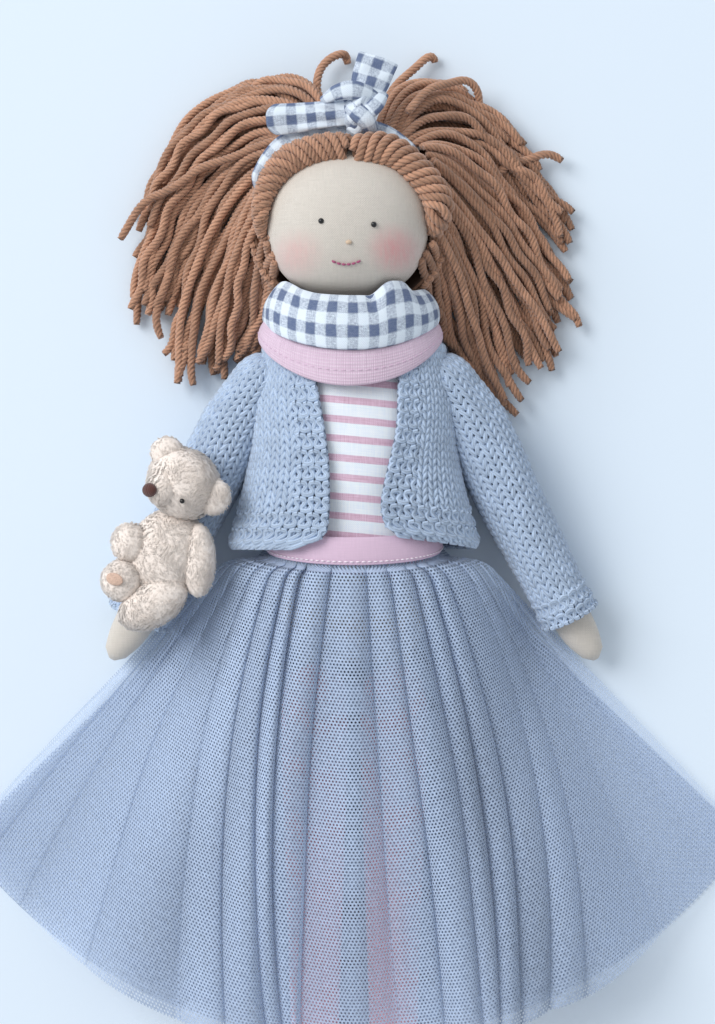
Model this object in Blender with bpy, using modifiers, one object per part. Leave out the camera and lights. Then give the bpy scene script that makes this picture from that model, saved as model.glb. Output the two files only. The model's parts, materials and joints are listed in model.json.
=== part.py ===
"""Rag doll lying on its back: stuffed cloth body, yarn hair, knitted cardigan, striped top,
two-colour cowl, gathered net skirt, and a small plush bear sewn to one arm.

Metres, +Z up. The doll is laid out round its waist, head towards +Y and front towards +Z,
and moved at the end so that the origin is the middle of its base.
"""

import math

import bmesh
import bpy
from mathutils import Matrix, Vector

# Gaps between pieces
SEAT_GAP = 0.0003
CLOTH_GAP = 0.0006
LOOSE_GAP = 0.0008
CUT_OVERRUN = 0.004

# Torso, from the hip seam to the top of the neck
TORSO_LENGTH = 0.150
WAIST_SHARE = 0.2533
TORSO_BELOW_WAIST = TORSO_LENGTH * WAIST_SHARE
TORSO_HALF_WIDTH = 0.031
TORSO_HALF_DEPTH = 0.0205
TORSO_STATION_SHARES = (0.0, 0.04, 0.10, 0.19, 0.28, 0.37, 0.46, 0.56, 0.65, 0.71, 0.76, 0.80, 0.84, 0.90, 1.0)
TORSO_WIDTH_SHARES = (0.80, 0.91, 0.99, 1.0, 0.98, 0.96, 0.96, 0.97, 0.96, 0.91, 0.80, 0.66, 0.46, 0.35, 0.31)
TORSO_DEPTH_SHARES = (0.12, 0.38, 0.66, 0.82, 0.85, 0.86, 0.93, 0.99, 0.98, 0.91, 0.82, 0.73, 0.61, 0.52, 0.47)
TORSO_SIDES = 24

# Head
HEAD_HALF_WIDTH = 0.032
HEAD_HALF_HEIGHT = 0.0295
HEAD_HALF_DEPTH = 0.024
HEAD_CHIN_SHARE = 0.07
HEAD_SIDEWAYS = -0.002
NECK_IN_HEAD = 0.010
HEAD_ABOVE_TORSO_MIDDLE = 0.007
HEAD_SEGMENTS = 24
HEAD_RINGS = 15

# Face
EYE_RADIUS = 0.0010
EYE_SPACING = 0.0204
EYE_DROP = -0.0017
EYE_TILT = 0.0014
FACE_SIDEWAYS = -0.0005
NOSE_RADIUS = 0.0008
NOSE_DROP = 0.0092
MOUTH_DROP = 0.0159
MOUTH_WIDTH = 0.0106
MOUTH_SAG = 0.0020
MOUTH_THREAD_RADIUS = 0.0004
MOUTH_POINTS = 7

# Arms: each lies a little outwards from the body and slopes to the floor
ARM_SPLAY = math.radians(27.3)
ARM_SLOPE = math.radians(6.2)
ARM_LENGTH = 0.126
ARM_RADIUS = 0.0085
ARM_STATION_SHARES = (0.0, 0.24, 0.48, 0.71, 0.84, 0.91, 0.96, 0.985, 1.0)
ARM_RADIUS_SHARES = (1.0, 1.04, 0.96, 0.84, 0.84, 0.86, 0.72, 0.50, 0.24)
ARM_SIDES = 12
LIMB_RING_SHARES = (0.0, 0.14, 0.31, 0.49, 0.67, 0.80, 0.88, 0.94, 0.98, 1.0)
SHOULDER_FROM_MIDDLE = 0.040
SHOULDER_SHARE = 0.4533
SHOULDER_ABOVE_WAIST = TORSO_LENGTH * SHOULDER_SHARE
SHOULDER_BELOW_MIDDLE = 0.003
TAB_RADIUS = 0.006
TAB_SEAT_FROM_MIDDLE = 0.025
ARMHOLE_CLEARANCE = 0.0025

# Legs, each from the flap at the hip to the sole
LEG_LENGTH = 0.198
LEG_HALF_WIDTH = 0.0135
LEG_HALF_DEPTH = 0.0125
LEG_FROM_MIDDLE = 0.0160
LEG_STATION_SHARES = (0.0, 0.01, 0.03, 0.07, 0.16, 0.42, 0.72, 0.88, 0.94)
LEG_WIDTH_SHARES = (0.12, 0.50, 0.80, 0.97, 1.0, 0.88, 0.74, 0.70, 0.70)
LEG_DEPTH_SHARES = (0.10, 0.24, 0.36, 0.58, 0.92, 0.90, 0.74, 0.72, 0.72)
LEG_RING_SHARES = (0.0, 0.01, 0.03, 0.07, 0.16, 0.28, 0.42, 0.57, 0.72, 0.88, 0.94)
LEG_PIVOT_BELOW_TOP = 0.0030
LEG_SIDES = 14
FOOT_LENGTH = 0.0215
FOOT_HALF_WIDTH = 0.0095
HIP_FLAP_LENGTH = 0.0055
HIP_FLAP_THICKNESS = 0.0022

# Hair: a wrapped roll round the face, a cap on the back of the head and loose locks
HAIR_CAP_THICKNESS = 0.0094
CAP_EDGE_BELOW_MIDDLE = 0.0028
CAP_HEM_BELOW_MIDDLE = 0.021
ROLL_RADIUS = 0.0057
ROLL_ABOVE_MIDDLE = 0.010
ROLL_OUT = 0.0030
ROLL_ANGLES_DEG = (86.5, 66.0, 45.0, 24.0, 5.0, -12.0)
ROLL_RADIUS_SHARES = (0.80, 1.0, 1.0, 1.0, 0.96, 0.70)
ROLL_SIDES = 10
BAND_HALF_THICKNESS = 0.0009
BAND_INNER_OUT = 0.0062
BAND_INNER_RISE = -0.0010
BAND_OUTER_OUT = 0.0128
BAND_OUTER_RISE = -0.0020
LOCK_ROOT_ANGLES_DEG = (88.5, 75.0, 55.0, 35.0, 12.0, -12.0, -34.0)
LOCK_TIP_WIDTH_SHARES = (0.05, 0.48, 0.80, 0.99, 1.04, 0.94, 0.66)
LOCK_TIP_HEIGHT_SHARES = (0.76, 0.67, 0.46, 0.19, -0.14, -0.48, -0.72)
HAIR_SPREAD = 0.088
LOCK_ROOT_HALF_DEPTH = 0.0090
LOCK_TIP_HALF_DEPTH = 0.0036
LOCK_ROOT_HEIGHT = 0.0212
LOCK_BULGE_SHARE = 0.10
LOCK_RINGS = 6
LOCK_SIDES = 8

# Knot and tails of the headband
KNOT_HALF_SIZE = 0.0066
KNOT_SIDEWAYS = 0.004
KNOT_ABOVE_HEAD = 0.0165
KNOT_RISE = 0.0037
TAIL_HALF_THICKNESS = 0.0021
LONG_TAIL_LENGTH = 0.036
LONG_TAIL_HALF_WIDTH = 0.0068
SHORT_TAIL_LENGTH = 0.021
SHORT_TAIL_HALF_WIDTH = 0.0082

# Clothes on the torso
TOP_THICKNESS = 0.0008
TOP_HEM_SHARE = 0.0533
TOP_NECK_SHARE = 0.5667
TOP_HEM_BELOW_WAIST = TORSO_LENGTH * TOP_HEM_SHARE
TOP_NECK_ABOVE_WAIST = TORSO_LENGTH * TOP_NECK_SHARE
CARDIGAN_THICKNESS = 0.0026
CARDIGAN_HEM_ABOVE_WAIST = 0.003
CARDIGAN_NECK_SHARE = 0.56
CARDIGAN_NECK_ABOVE_WAIST = TORSO_LENGTH * CARDIGAN_NECK_SHARE
CARDIGAN_HEM_HALF_WIDTH = 0.0485
CARDIGAN_FLARE_SHARE = 0.29
CARDIGAN_FLARE_FROM = TORSO_LENGTH * CARDIGAN_FLARE_SHARE
CARDIGAN_ABOVE_BAND = 0.0013
CARDIGAN_STEP_LENGTH = 0.014
CARDIGAN_OPEN_TOP = 0.017
CARDIGAN_OPEN_HEM = 0.0108
SLEEVE_RADIUS = 0.0120
HAND_SHOWING = 0.018
SLEEVE_LENGTH = ARM_LENGTH - HAND_SHOWING
SLEEVE_STATION_SHARES = (0.0, 0.27, 0.63, 0.88, 1.0)
SLEEVE_RADIUS_SHARES = (1.0, 1.02, 0.98, 0.86, 0.92)
SLEEVE_SIDES = 16

# Cowl: a gingham loop folded over a plain one
COWL_SEGMENTS = 32
COWL_SECTION = 8
COWL_HALF_THICKNESS = 0.0016
LINING_LOWER = (0.0365, 0.0250, 0.0180, 0.0170)
LINING_LOWER_SHARE = 0.5733
LINING_UPPER = (0.0290, 0.0200, 0.0150, 0.0040)
LINING_UPPER_SHARE = 0.64
GINGHAM_LOWER = (0.0318, 0.0262, 0.0174, 0.0130)
GINGHAM_LOWER_SHARE = 0.64
GINGHAM_UPPER = (0.0300, 0.0235, 0.0165, 0.0005)
GINGHAM_UPPER_SHARE = 0.7033

# Waistband and skirt
WAISTBAND_HALF_HEIGHT = 0.0055
WAISTBAND_THICKNESS = 0.0012
WAISTBAND_ABOVE_WAIST = 0.0075
WAISTBAND_SAG = 0.0057
NET_THICKNESS = 0.0009
NET_FLOOR_THICKNESS = 0.0010
SKIRT_RADIUS = 0.200
SKIRT_HALF_ANGLE = math.radians(54.0)
SKIRT_FRONT_HEIGHT = 0.0365
SKIRT_EDGE_HEIGHT = 0.0040
SKIRT_LAYER_DROP = 0.0042
SKIRT_LEVEL_SHARE = 0.30
SKIRT_SLOPE_SHARE = 0.62
SKIRT_BRIM_POWER = 1.6
SKIRT_SIDE_BOW = 0.0172
SKIRT_BOW_POWER = 0.8
SKIRT_PUFF_SHARE = 0.009
SKIRT_BELOW_BAND = 0.0020
SKIRT_LAYER_GAP = 0.0012
UNDERSKIRT_BELOW = 0.0014
UNDERSKIRT_BOW_SHARE = 0.86
SKIRT_COLUMNS = 40
SKIRT_ROW_SHARES = (0.0, 0.0015, 0.022, 0.143, 0.286, 0.429, 0.571, 0.714, 0.857, 1.0)
SKIRT_FOLDS = 6.5
SKIRT_FOLD_HALF_HEIGHT = 0.0025
UNDERSKIRT_REACH_SHARE = 0.95
UNDERSKIRT_COLUMNS = 26

# Bear sewn to the right arm, given from the shoulder along and across that arm
BEAR_BODY_ALONG = 0.0770
BEAR_BODY_ACROSS = 0.0
BEAR_BODY_HALF_WIDTH = 0.0145
BEAR_BODY_HALF_LENGTH = 0.0190
BEAR_BODY_HALF_DEPTH = 0.0120
BEAR_HEAD_RADIUS = 0.0150
BEAR_EAR_RADIUS = 0.0068
BEAR_MUZZLE_RADIUS = 0.0072
BEAR_LIMB_RADIUS = 0.0062
BEAR_NOSE_RADIUS = 0.0028
BEAR_EYE_RADIUS = 0.0009
BEAR_SINK_SHARE = 0.85


def made_from(name, bm, collection, material=None):
    """A mesh object of this name made from a bmesh, with its faces pointing outwards."""
    bm.normal_update()
    bmesh.ops.recalc_face_normals(bm, faces=bm.faces)
    mesh = bpy.data.meshes.new(name)
    bm.to_mesh(mesh)
    bm.free()
    piece = bpy.data.objects.new(name, mesh)
    collection.objects.link(piece)
    if material is not None:
        mesh.materials.append(material)
    else:
        piece.hide_render = True
        piece.display_type = "WIRE"
    mesh.shade_smooth()
    return piece


def cloth(name, colour, roughness=0.9):
    """A plain Principled material in the piece's colour."""
    material = bpy.data.materials.new(name)
    material.use_nodes = True
    shader = material.node_tree.nodes["Principled BSDF"]
    shader.inputs["Base Color"].default_value = (*colour, 1)
    shader.inputs["Roughness"].default_value = roughness
    shader.inputs["Metallic"].default_value = 0
    material.diffuse_color = (*colour, 1)
    return material


def smooth_through(places, values, at):
    """The value at a place on a smooth cubic curve through the listed values."""
    last = len(places) - 1
    i = next((k for k in range(last) if at <= places[k + 1]), last - 1)
    span = places[i + 1] - places[i]
    t = (at - places[i]) / span

    def slope(k):
        a, b = max(k - 1, 0), min(k + 1, last)
        return (values[b] - values[a]) / (places[b] - places[a])

    return (
        values[i] * (2 * t**3 - 3 * t**2 + 1)
        + values[i + 1] * (3 * t**2 - 2 * t**3)
        + slope(i) * (span * (t**3 - 2 * t**2 + t))
        + slope(i + 1) * (span * (t**3 - t**2))
    )


def linear_through(places, values, at):
    """The value at a place on straight lines through the listed values."""
    i = next((k for k in range(len(places) - 1) if at <= places[k + 1]), len(places) - 2)
    share = (at - places[i]) / (places[i + 1] - places[i])
    return values[i] + (values[i + 1] - values[i]) * share


def stuffed(name, rings, collection, material=None, sides=12, grow=0.0, side_way=None):
    """A stuffed form through rings of (centre, half width, half depth, and perhaps side).

    It is a UV sphere whose rings of vertices are laid on the sections, and whose poles
    close the two ends. A ring's side is the direction of its half width; without one it
    lies level, across the form, and side_way gives one side for all the rings.
    """
    count = len(rings)
    centres = [Vector(r[0]) for r in rings]
    bm = bmesh.new()
    bmesh.ops.create_uvsphere(bm, u_segments=sides, v_segments=count + 1, radius=1)
    for vertex in bm.verts:
        polar = math.acos(max(-1.0, min(1.0, -vertex.co.z)))
        index = round(polar / math.pi * (count + 1)) - 1
        k = max(0, min(count - 1, index))
        along = (centres[min(k + 1, count - 1)] - centres[max(k - 1, 0)]).normalized()
        if len(rings[k]) > 3:
            side, depth = Vector(rings[k][3]), Vector((0, 0, 1))
        else:
            side = Vector(side_way or Vector((0, 0, 1)).cross(along)).normalized()
            depth = along.cross(side)
        if index in (-1, count):
            vertex.co = centres[k] + along * (grow if index == count else -grow)
            continue
        angle = math.atan2(vertex.co.y, vertex.co.x)
        vertex.co = (
            centres[k]
            + side * ((rings[k][1] + grow) * math.cos(angle))
            + depth * ((rings[k][2] + grow) * math.sin(angle))
        )
    return made_from(name, bm, collection, material)


def ball(name, centre, half, collection, material=None, grow=0.0, turn=None, sides=16, rings=10):
    """An ellipsoid of these half sizes, grown all round, turned about its own centre."""
    bm = bmesh.new()
    bmesh.ops.create_uvsphere(bm, u_segments=sides, v_segments=rings, radius=1)
    for vertex in bm.verts:
        spot = Vector([c * (h + grow) for c, h in zip(vertex.co, half)])
        vertex.co = Vector(centre) + (turn @ spot if turn is not None else spot)
    return made_from(name, bm, collection, material)


def grid_piece(name, point, columns, rows, thickness, collection, material, closed=False):
    """A cloth sheet: point(u, v) for u and v from 0 to 1, thickened outwards by Solidify."""
    bm = bmesh.new()
    bmesh.ops.create_grid(bm, x_segments=columns, y_segments=rows, size=0.5)
    for vertex in bm.verts:
        vertex.co = point(vertex.co.x + 0.5, vertex.co.y + 0.5)
    bmesh.ops.reverse_faces(bm, faces=bm.faces)
    if closed:
        bmesh.ops.remove_doubles(bm, verts=bm.verts, dist=SEAT_GAP / 10)
    mesh = bpy.data.meshes.new(name)
    bm.to_mesh(mesh)
    bm.free()
    mesh.materials.append(material)
    mesh.shade_smooth()
    piece = bpy.data.objects.new(name, mesh)
    collection.objects.link(piece)
    wall = piece.modifiers.new("cloth", "SOLIDIFY")
    wall.thickness = thickness
    wall.offset = 1
    wall.use_even_offset = False
    return piece


def cut(piece, *cutters):
    """Cuts each cutter out of the piece."""
    for cutter in cutters:
        modifier = piece.modifiers.new("cut by " + cutter.name, "BOOLEAN")
        modifier.operation = "DIFFERENCE"
        modifier.object = cutter
        modifier.solver = "EXACT"
    return piece


def joined(piece, other, operation="UNION"):
    """Adds the other shape to the piece, or keeps only what they share."""
    modifier = piece.modifiers.new(operation.lower() + " " + other.name, "BOOLEAN")
    modifier.operation = operation
    modifier.object = other
    modifier.solver = "EXACT"
    return piece


def rod(name, centre, direction, radius, length, collection, material=None, sides=24):
    """A round rod centred on a point, along a direction."""
    bm = bmesh.new()
    bmesh.ops.create_cone(
        bm, cap_ends=True, segments=sides, radius1=radius, radius2=radius, depth=length
    )
    turn = Vector((0, 0, 1)).rotation_difference(Vector(direction)).to_matrix().to_4x4()
    bmesh.ops.transform(bm, matrix=Matrix.Translation(centre) @ turn, verts=bm.verts)
    return made_from(name, bm, collection, material)


def block(name, low, high, collection, material=None):
    """A box between two corners."""
    bm = bmesh.new()
    bmesh.ops.create_cube(bm, size=1)
    low, high = Vector(low), Vector(high)
    for vertex in bm.verts:
        share = vertex.co + Vector((0.5, 0.5, 0.5))
        vertex.co = Vector([a + (b - a) * s for a, b, s in zip(low, high, share)])
    return made_from(name, bm, collection, material)


# Heights above the floor that the layers under the torso set
CARDIGAN_FROM_TORSO = CLOTH_GAP + TOP_THICKNESS + CLOTH_GAP
NET_FROM_TORSO = CLOTH_GAP + TOP_THICKNESS + SEAT_GAP
OUTER_NET_FROM_TORSO = NET_FROM_TORSO + NET_THICKNESS + SEAT_GAP
BAND_FROM_TORSO = OUTER_NET_FROM_TORSO + NET_THICKNESS + SEAT_GAP
TORSO_MIDDLE = (
    NET_FLOOR_THICKNESS + SEAT_GAP + WAISTBAND_THICKNESS + BAND_FROM_TORSO + TORSO_HALF_DEPTH
)
TORSO_TOP = TORSO_LENGTH - TORSO_BELOW_WAIST
HEAD_CENTRE = Vector(
    (
        HEAD_SIDEWAYS,
        TORSO_TOP - NECK_IN_HEAD + HEAD_HALF_HEIGHT,
        TORSO_MIDDLE + HEAD_ABOVE_TORSO_MIDDLE,
    )
)
SHOULDER_HEIGHT = TORSO_MIDDLE - SHOULDER_BELOW_MIDDLE
HIP_HEIGHT = NET_FLOOR_THICKNESS + SEAT_GAP + LEG_HALF_DEPTH


def torso_share(y):
    """How far along the torso a height above the waist lies, from 0 at the hips."""
    return max(0.0, min(1.0, (y + TORSO_BELOW_WAIST) / TORSO_LENGTH))


def torso_width(y):
    """Half width of the torso at a height above the waist."""
    return TORSO_HALF_WIDTH * linear_through(TORSO_STATION_SHARES, TORSO_WIDTH_SHARES, torso_share(y))


def torso_depth(y):
    """Half depth of the torso at a height above the waist."""
    return TORSO_HALF_DEPTH * linear_through(TORSO_STATION_SHARES, TORSO_DEPTH_SHARES, torso_share(y))


def torso_middle(y):
    """Height of the torso's middle above the floor, which drops to the hip flap at the seam."""
    drop = max(0.0, -y / TORSO_BELOW_WAIST) ** 2
    return TORSO_MIDDLE + (HIP_HEIGHT - TORSO_MIDDLE) * drop


def torso_levels(low, high, *more):
    """The torso's ring heights between two heights above the waist, with both ends."""
    rings = [TORSO_LENGTH * share - TORSO_BELOW_WAIST for share in TORSO_STATION_SHARES]
    inner = [y for y in (*rings, *more) if low + CLOTH_GAP < y < high - CLOTH_GAP]
    return [low, *sorted(inner), high]


def round_torso(y, angle, away, width=None):
    """A point round the torso at an angle from +X towards the front, this far off its skin."""
    half_width = torso_width(y) + away if width is None else width
    return Vector(
        (
            half_width * math.cos(angle),
            y,
            torso_middle(y) + (torso_depth(y) + away) * math.sin(angle),
        )
    )


def shoulder(side):
    """Centre of the shoulder joint; side is 1 for the doll's left, at +X, and -1 for its right."""
    return Vector((side * SHOULDER_FROM_MIDDLE, SHOULDER_ABOVE_WAIST, SHOULDER_HEIGHT))


def arm_direction(side):
    """Unit vector along an arm, from the shoulder to the hand."""
    flat = math.cos(ARM_SLOPE)
    return Vector(
        (
            side * math.sin(ARM_SPLAY) * flat,
            -math.cos(ARM_SPLAY) * flat,
            -math.sin(ARM_SLOPE),
        )
    )


def limb_rings(side, length, radius, stations, shares, extra=0.0):
    """Rings of a limb with a round head about the shoulder, then along the arm."""
    start, along = shoulder(side), arm_direction(side)
    rings = []
    head = radius * shares[0]
    for turn in (20, 43, 68):
        back = head * math.cos(math.radians(turn))
        wide = head * math.sin(math.radians(turn))
        rings.append((start - along * back, wide, wide))
    for share in LIMB_RING_SHARES:
        wide = radius * smooth_through(stations, shares, share)
        rings.append((start + along * (length * share), wide, wide))
    if extra:
        wide = rings[-1][1]
        rings.append((start + along * (length + extra), wide, wide))
    return rings


def build_torso(parts, cutters, skin):
    """Stuffed torso with its neck, and a flat seat for each arm's tab."""
    rings = []
    for y in torso_levels(-TORSO_BELOW_WAIST, TORSO_TOP):
        rings.append(((0, y, torso_middle(y)), torso_width(y), torso_depth(y), (-1, 0, 0)))
    torso = stuffed("torso", rings, parts, skin, TORSO_SIDES)
    for side in (1, -1):
        seat = rod(
            f"tab_seat_cutter_{side}",
            shoulder(side) + Vector((side * (TAB_SEAT_FROM_MIDDLE - SHOULDER_FROM_MIDDLE + CUT_OVERRUN), 0, 0)),
            (1, 0, 0),
            TAB_RADIUS + ARMHOLE_CLEARANCE,
            2 * CUT_OVERRUN,
            cutters,
        )
        cut(torso, seat)
    return torso


def head_point(across, up, away=0.0):
    """A point on the front of the head, across and up from its centre, this far off its skin."""
    taper = 1 + HEAD_CHIN_SHARE * up / HEAD_HALF_HEIGHT
    wide = across / (HEAD_HALF_WIDTH * taper)
    high = up / HEAD_HALF_HEIGHT
    deep = HEAD_HALF_DEPTH * math.sqrt(max(0.0, 1 - wide**2 - high**2))
    slope = Vector(
        (
            across / (HEAD_HALF_WIDTH * taper) ** 2,
            up / HEAD_HALF_HEIGHT**2,
            deep / HEAD_HALF_DEPTH**2,
        )
    ).normalized()
    return HEAD_CENTRE + Vector((across, up, deep)) + slope * away


def head_form(name, collection, material=None, grow=0.0, flat_chin=False):
    """The head's egg shape, narrower at the chin, grown all round by a distance."""
    bm = bmesh.new()
    bmesh.ops.create_uvsphere(
        bm, u_segments=HEAD_SEGMENTS, v_segments=HEAD_RINGS, radius=1
    )
    taper = 0.0 if flat_chin else HEAD_CHIN_SHARE
    for vertex in bm.verts:
        x, y, z = vertex.co
        vertex.co = HEAD_CENTRE + Vector(
            (
                x * (HEAD_HALF_WIDTH + grow) * (1 + taper * y),
                y * (HEAD_HALF_HEIGHT + grow),
                z * (HEAD_HALF_DEPTH + grow),
            )
        )
    return made_from(name, bm, collection, material)


def build_head(parts, cutters, skin, black, pink, torso_neck):
    """Head on the neck, with bead eyes, a knot for a nose and a stitched mouth."""
    head = head_form("head", parts, skin)
    cut(head, torso_neck)
    skin_cutter = head_form("head_grown_cutter", cutters, grow=SEAT_GAP)
    for side, label in ((1, "left"), (-1, "right")):
        spot = head_point(side * EYE_SPACING / 2 + FACE_SIDEWAYS, EYE_DROP - side * EYE_TILT / 2)
        eye = ball(f"{label}_eye", spot, (EYE_RADIUS,) * 3, parts, black, sides=10, rings=6)
        cut(eye, skin_cutter)
    spot = head_point(0, -NOSE_DROP)
    nose = ball("nose", spot, (NOSE_RADIUS * 1.3, NOSE_RADIUS, NOSE_RADIUS), parts, skin, sides=10, rings=6)
    cut(nose, skin_cutter)
    rings = []
    for i in range(MOUTH_POINTS):
        share = 2 * i / (MOUTH_POINTS - 1) - 1
        up = -MOUTH_DROP - MOUTH_SAG * (1 - share**2)
        centre = head_point(share * MOUTH_WIDTH / 2 + FACE_SIDEWAYS, up, SEAT_GAP + MOUTH_THREAD_RADIUS)
        rings.append((centre, MOUTH_THREAD_RADIUS, MOUTH_THREAD_RADIUS))
    stuffed("mouth_stitches", rings, parts, pink, 6)
    return head, skin_cutter


def sleeve_rings(side):
    """Rings of the outside of a sleeve."""
    return limb_rings(
        side, SLEEVE_LENGTH, SLEEVE_RADIUS, SLEEVE_STATION_SHARES, SLEEVE_RADIUS_SHARES
    )


def tab_hole(name, side, cutters):
    """Cutter that clears a garment from round the shoulder tab."""
    return rod(
        f"{name}_tab_hole_cutter_{side}",
        shoulder(side) - Vector((side * SLEEVE_RADIUS / 2, 0, 0)),
        (1, 0, 0),
        TAB_RADIUS + ARMHOLE_CLEARANCE,
        2 * SLEEVE_RADIUS,
        cutters,
    )


def build_arm(side, label, parts, cutters, skin, knit):
    """One stuffed arm with its hand, its gathered tab and the sleeve over it."""
    tab_outer = SHOULDER_FROM_MIDDLE - ARM_RADIUS - SEAT_GAP
    tab_inner = TAB_SEAT_FROM_MIDDLE + SEAT_GAP
    rod(
        f"{label}_shoulder_tab",
        Vector((side * (tab_inner + tab_outer) / 2, SHOULDER_ABOVE_WAIST, SHOULDER_HEIGHT)),
        (1, 0, 0),
        TAB_RADIUS,
        tab_outer - tab_inner,
        parts,
        skin,
        16,
    )
    rings = limb_rings(side, ARM_LENGTH, ARM_RADIUS, ARM_STATION_SHARES, ARM_RADIUS_SHARES)
    stuffed(f"{label}_arm", rings, parts, skin, ARM_SIDES)
    bore = stuffed(
        f"{label}_sleeve_bore_cutter",
        limb_rings(side, ARM_LENGTH, ARM_RADIUS, (0.0, 0.3, 1.0), (1.0, 1.04, 1.04)),
        cutters,
        sides=ARM_SIDES,
        grow=LOOSE_GAP,
    )
    outer = sleeve_rings(side)
    sleeve = stuffed(f"{label}_sleeve", outer, parts, knit, SLEEVE_SIDES)
    cut(sleeve, bore)
    reach = SLEEVE_RADIUS + CUT_OVERRUN
    face = ARM_RADIUS * 0.65
    centre = shoulder(side)
    inner = centre.x - side * face
    outer_x = centre.x - side * (reach + face)
    opening = block(
        f"{label}_sleeve_opening_cutter",
        (min(inner, outer_x), centre.y - reach, centre.z - reach),
        (max(inner, outer_x), centre.y + reach, centre.z + reach),
        cutters,
    )
    cut(sleeve, opening)
    return stuffed(f"{label}_sleeve_grown_cutter", outer, cutters, sides=SLEEVE_SIDES, grow=SEAT_GAP)


def leg_top():
    """Height above the waist of the top of the legs, just under the hip flap."""
    return -TORSO_BELOW_WAIST - HIP_FLAP_LENGTH - 2 * SEAT_GAP


def build_leg(side, label, parts, stocking):
    """One stuffed leg in pink cloth, flat where the flap holds it, with its foot turned up."""
    top = leg_top()
    rings = []
    for share in LEG_RING_SHARES:
        wide = LEG_HALF_WIDTH * smooth_through(LEG_STATION_SHARES, LEG_WIDTH_SHARES, share)
        deep = LEG_HALF_DEPTH * smooth_through(LEG_STATION_SHARES, LEG_DEPTH_SHARES, share)
        height = HIP_HEIGHT - (LEG_HALF_DEPTH - deep) * min(1.0, share / LEG_STATION_SHARES[4])
        centre = (side * LEG_FROM_MIDDLE, top - LEG_LENGTH * share, height)
        rings.append((centre, wide, deep, (1, 0, 0)))
    ankle = rings[-1][0]
    heel = top - LEG_LENGTH
    sole_rise = FOOT_LENGTH - FOOT_HALF_WIDTH
    for share, wide_share in ((0.10, 1.0), (0.45, 1.05), (0.80, 0.95), (1.0, 0.55)):
        y = heel + (ankle[1] - heel) * (0.35 - 0.2 * share)
        z = ankle[2] + sole_rise * share
        rings.append(((ankle[0], y, z), FOOT_HALF_WIDTH * wide_share, FOOT_HALF_WIDTH * wide_share * 0.9))
    stuffed(f"{label}_leg", rings, parts, stocking, LEG_SIDES, side_way=(1, 0, 0))


def build_hip_flap(parts, skin):
    """The unstuffed cloth strip at the closing seam, on which both legs are sewn."""
    half_width = LEG_FROM_MIDDLE + LEG_HALF_WIDTH * LEG_WIDTH_SHARES[1]
    y = -TORSO_BELOW_WAIST - SEAT_GAP
    block(
        "hip_flap",
        (-half_width, y - HIP_FLAP_LENGTH, HIP_HEIGHT - HIP_FLAP_THICKNESS / 2),
        (half_width, y, HIP_HEIGHT + HIP_FLAP_THICKNESS / 2),
        parts,
        skin,
    )


def on_hair(angle, away):
    """A point of the head's outline in plan, at an angle from +X, this far outside it."""
    return Vector(
        (
            HEAD_CENTRE.x + (HEAD_HALF_WIDTH + away) * math.cos(angle),
            HEAD_CENTRE.y + (HEAD_HALF_HEIGHT + away) * math.sin(angle),
        )
    )


def build_rolls(parts, yarn, skin_cutter):
    """Two wrapped rolls of yarn from the parting down to the cheeks."""
    for side, label in ((1, "left"), (-1, "right")):
        rings = []
        steps = 12
        for i in range(steps):
            share = i / (steps - 1) * (len(ROLL_ANGLES_DEG) - 1)
            places = tuple(range(len(ROLL_ANGLES_DEG)))
            angle = math.radians(smooth_through(places, ROLL_ANGLES_DEG, share))
            radius = ROLL_RADIUS * smooth_through(places, ROLL_RADIUS_SHARES, share)
            spot = on_hair(angle, ROLL_OUT)
            x = HEAD_CENTRE.x + side * (spot.x - HEAD_CENTRE.x)
            rings.append(((x, spot.y, HEAD_CENTRE.z + ROLL_ABOVE_MIDDLE), radius, radius))
        roll = stuffed(f"{label}_hair_roll", rings, parts, yarn, ROLL_SIDES)
        cut(roll, skin_cutter)


def build_cap(parts, cutters, yarn, gingham, skin_cutter, torso_neck):
    """Yarn cap on the back of the head, and the headband just in front of its edge."""
    cap = head_form("hair_cap", parts, yarn, grow=HAIR_CAP_THICKNESS)
    reach = HEAD_HALF_WIDTH + HAIR_CAP_THICKNESS + CUT_OVERRUN
    front = block(
        "cap_front_cutter",
        HEAD_CENTRE + Vector((-reach, -reach, -CAP_EDGE_BELOW_MIDDLE)),
        HEAD_CENTRE + Vector((reach, reach, reach)),
        cutters,
    )
    below = block(
        "cap_hem_cutter",
        HEAD_CENTRE + Vector((-reach, -reach, -reach)),
        HEAD_CENTRE + Vector((reach, -CAP_HEM_BELOW_MIDDLE, reach)),
        cutters,
    )
    cut(cap, skin_cutter, torso_neck, front, below)

    def edge(out, rise):
        def at(angle):
            spot = on_hair(angle, out)
            return Vector((spot.x, spot.y, HEAD_CENTRE.z + rise))

        return at

    band = cloth_loop(
        "headband",
        edge(BAND_OUTER_OUT, BAND_OUTER_RISE),
        edge(BAND_INNER_OUT, BAND_INNER_RISE),
        BAND_HALF_THICKNESS,
        Vector((0, 0, 1)),
        parts,
        gingham,
    )
    cut(band, below)


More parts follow.
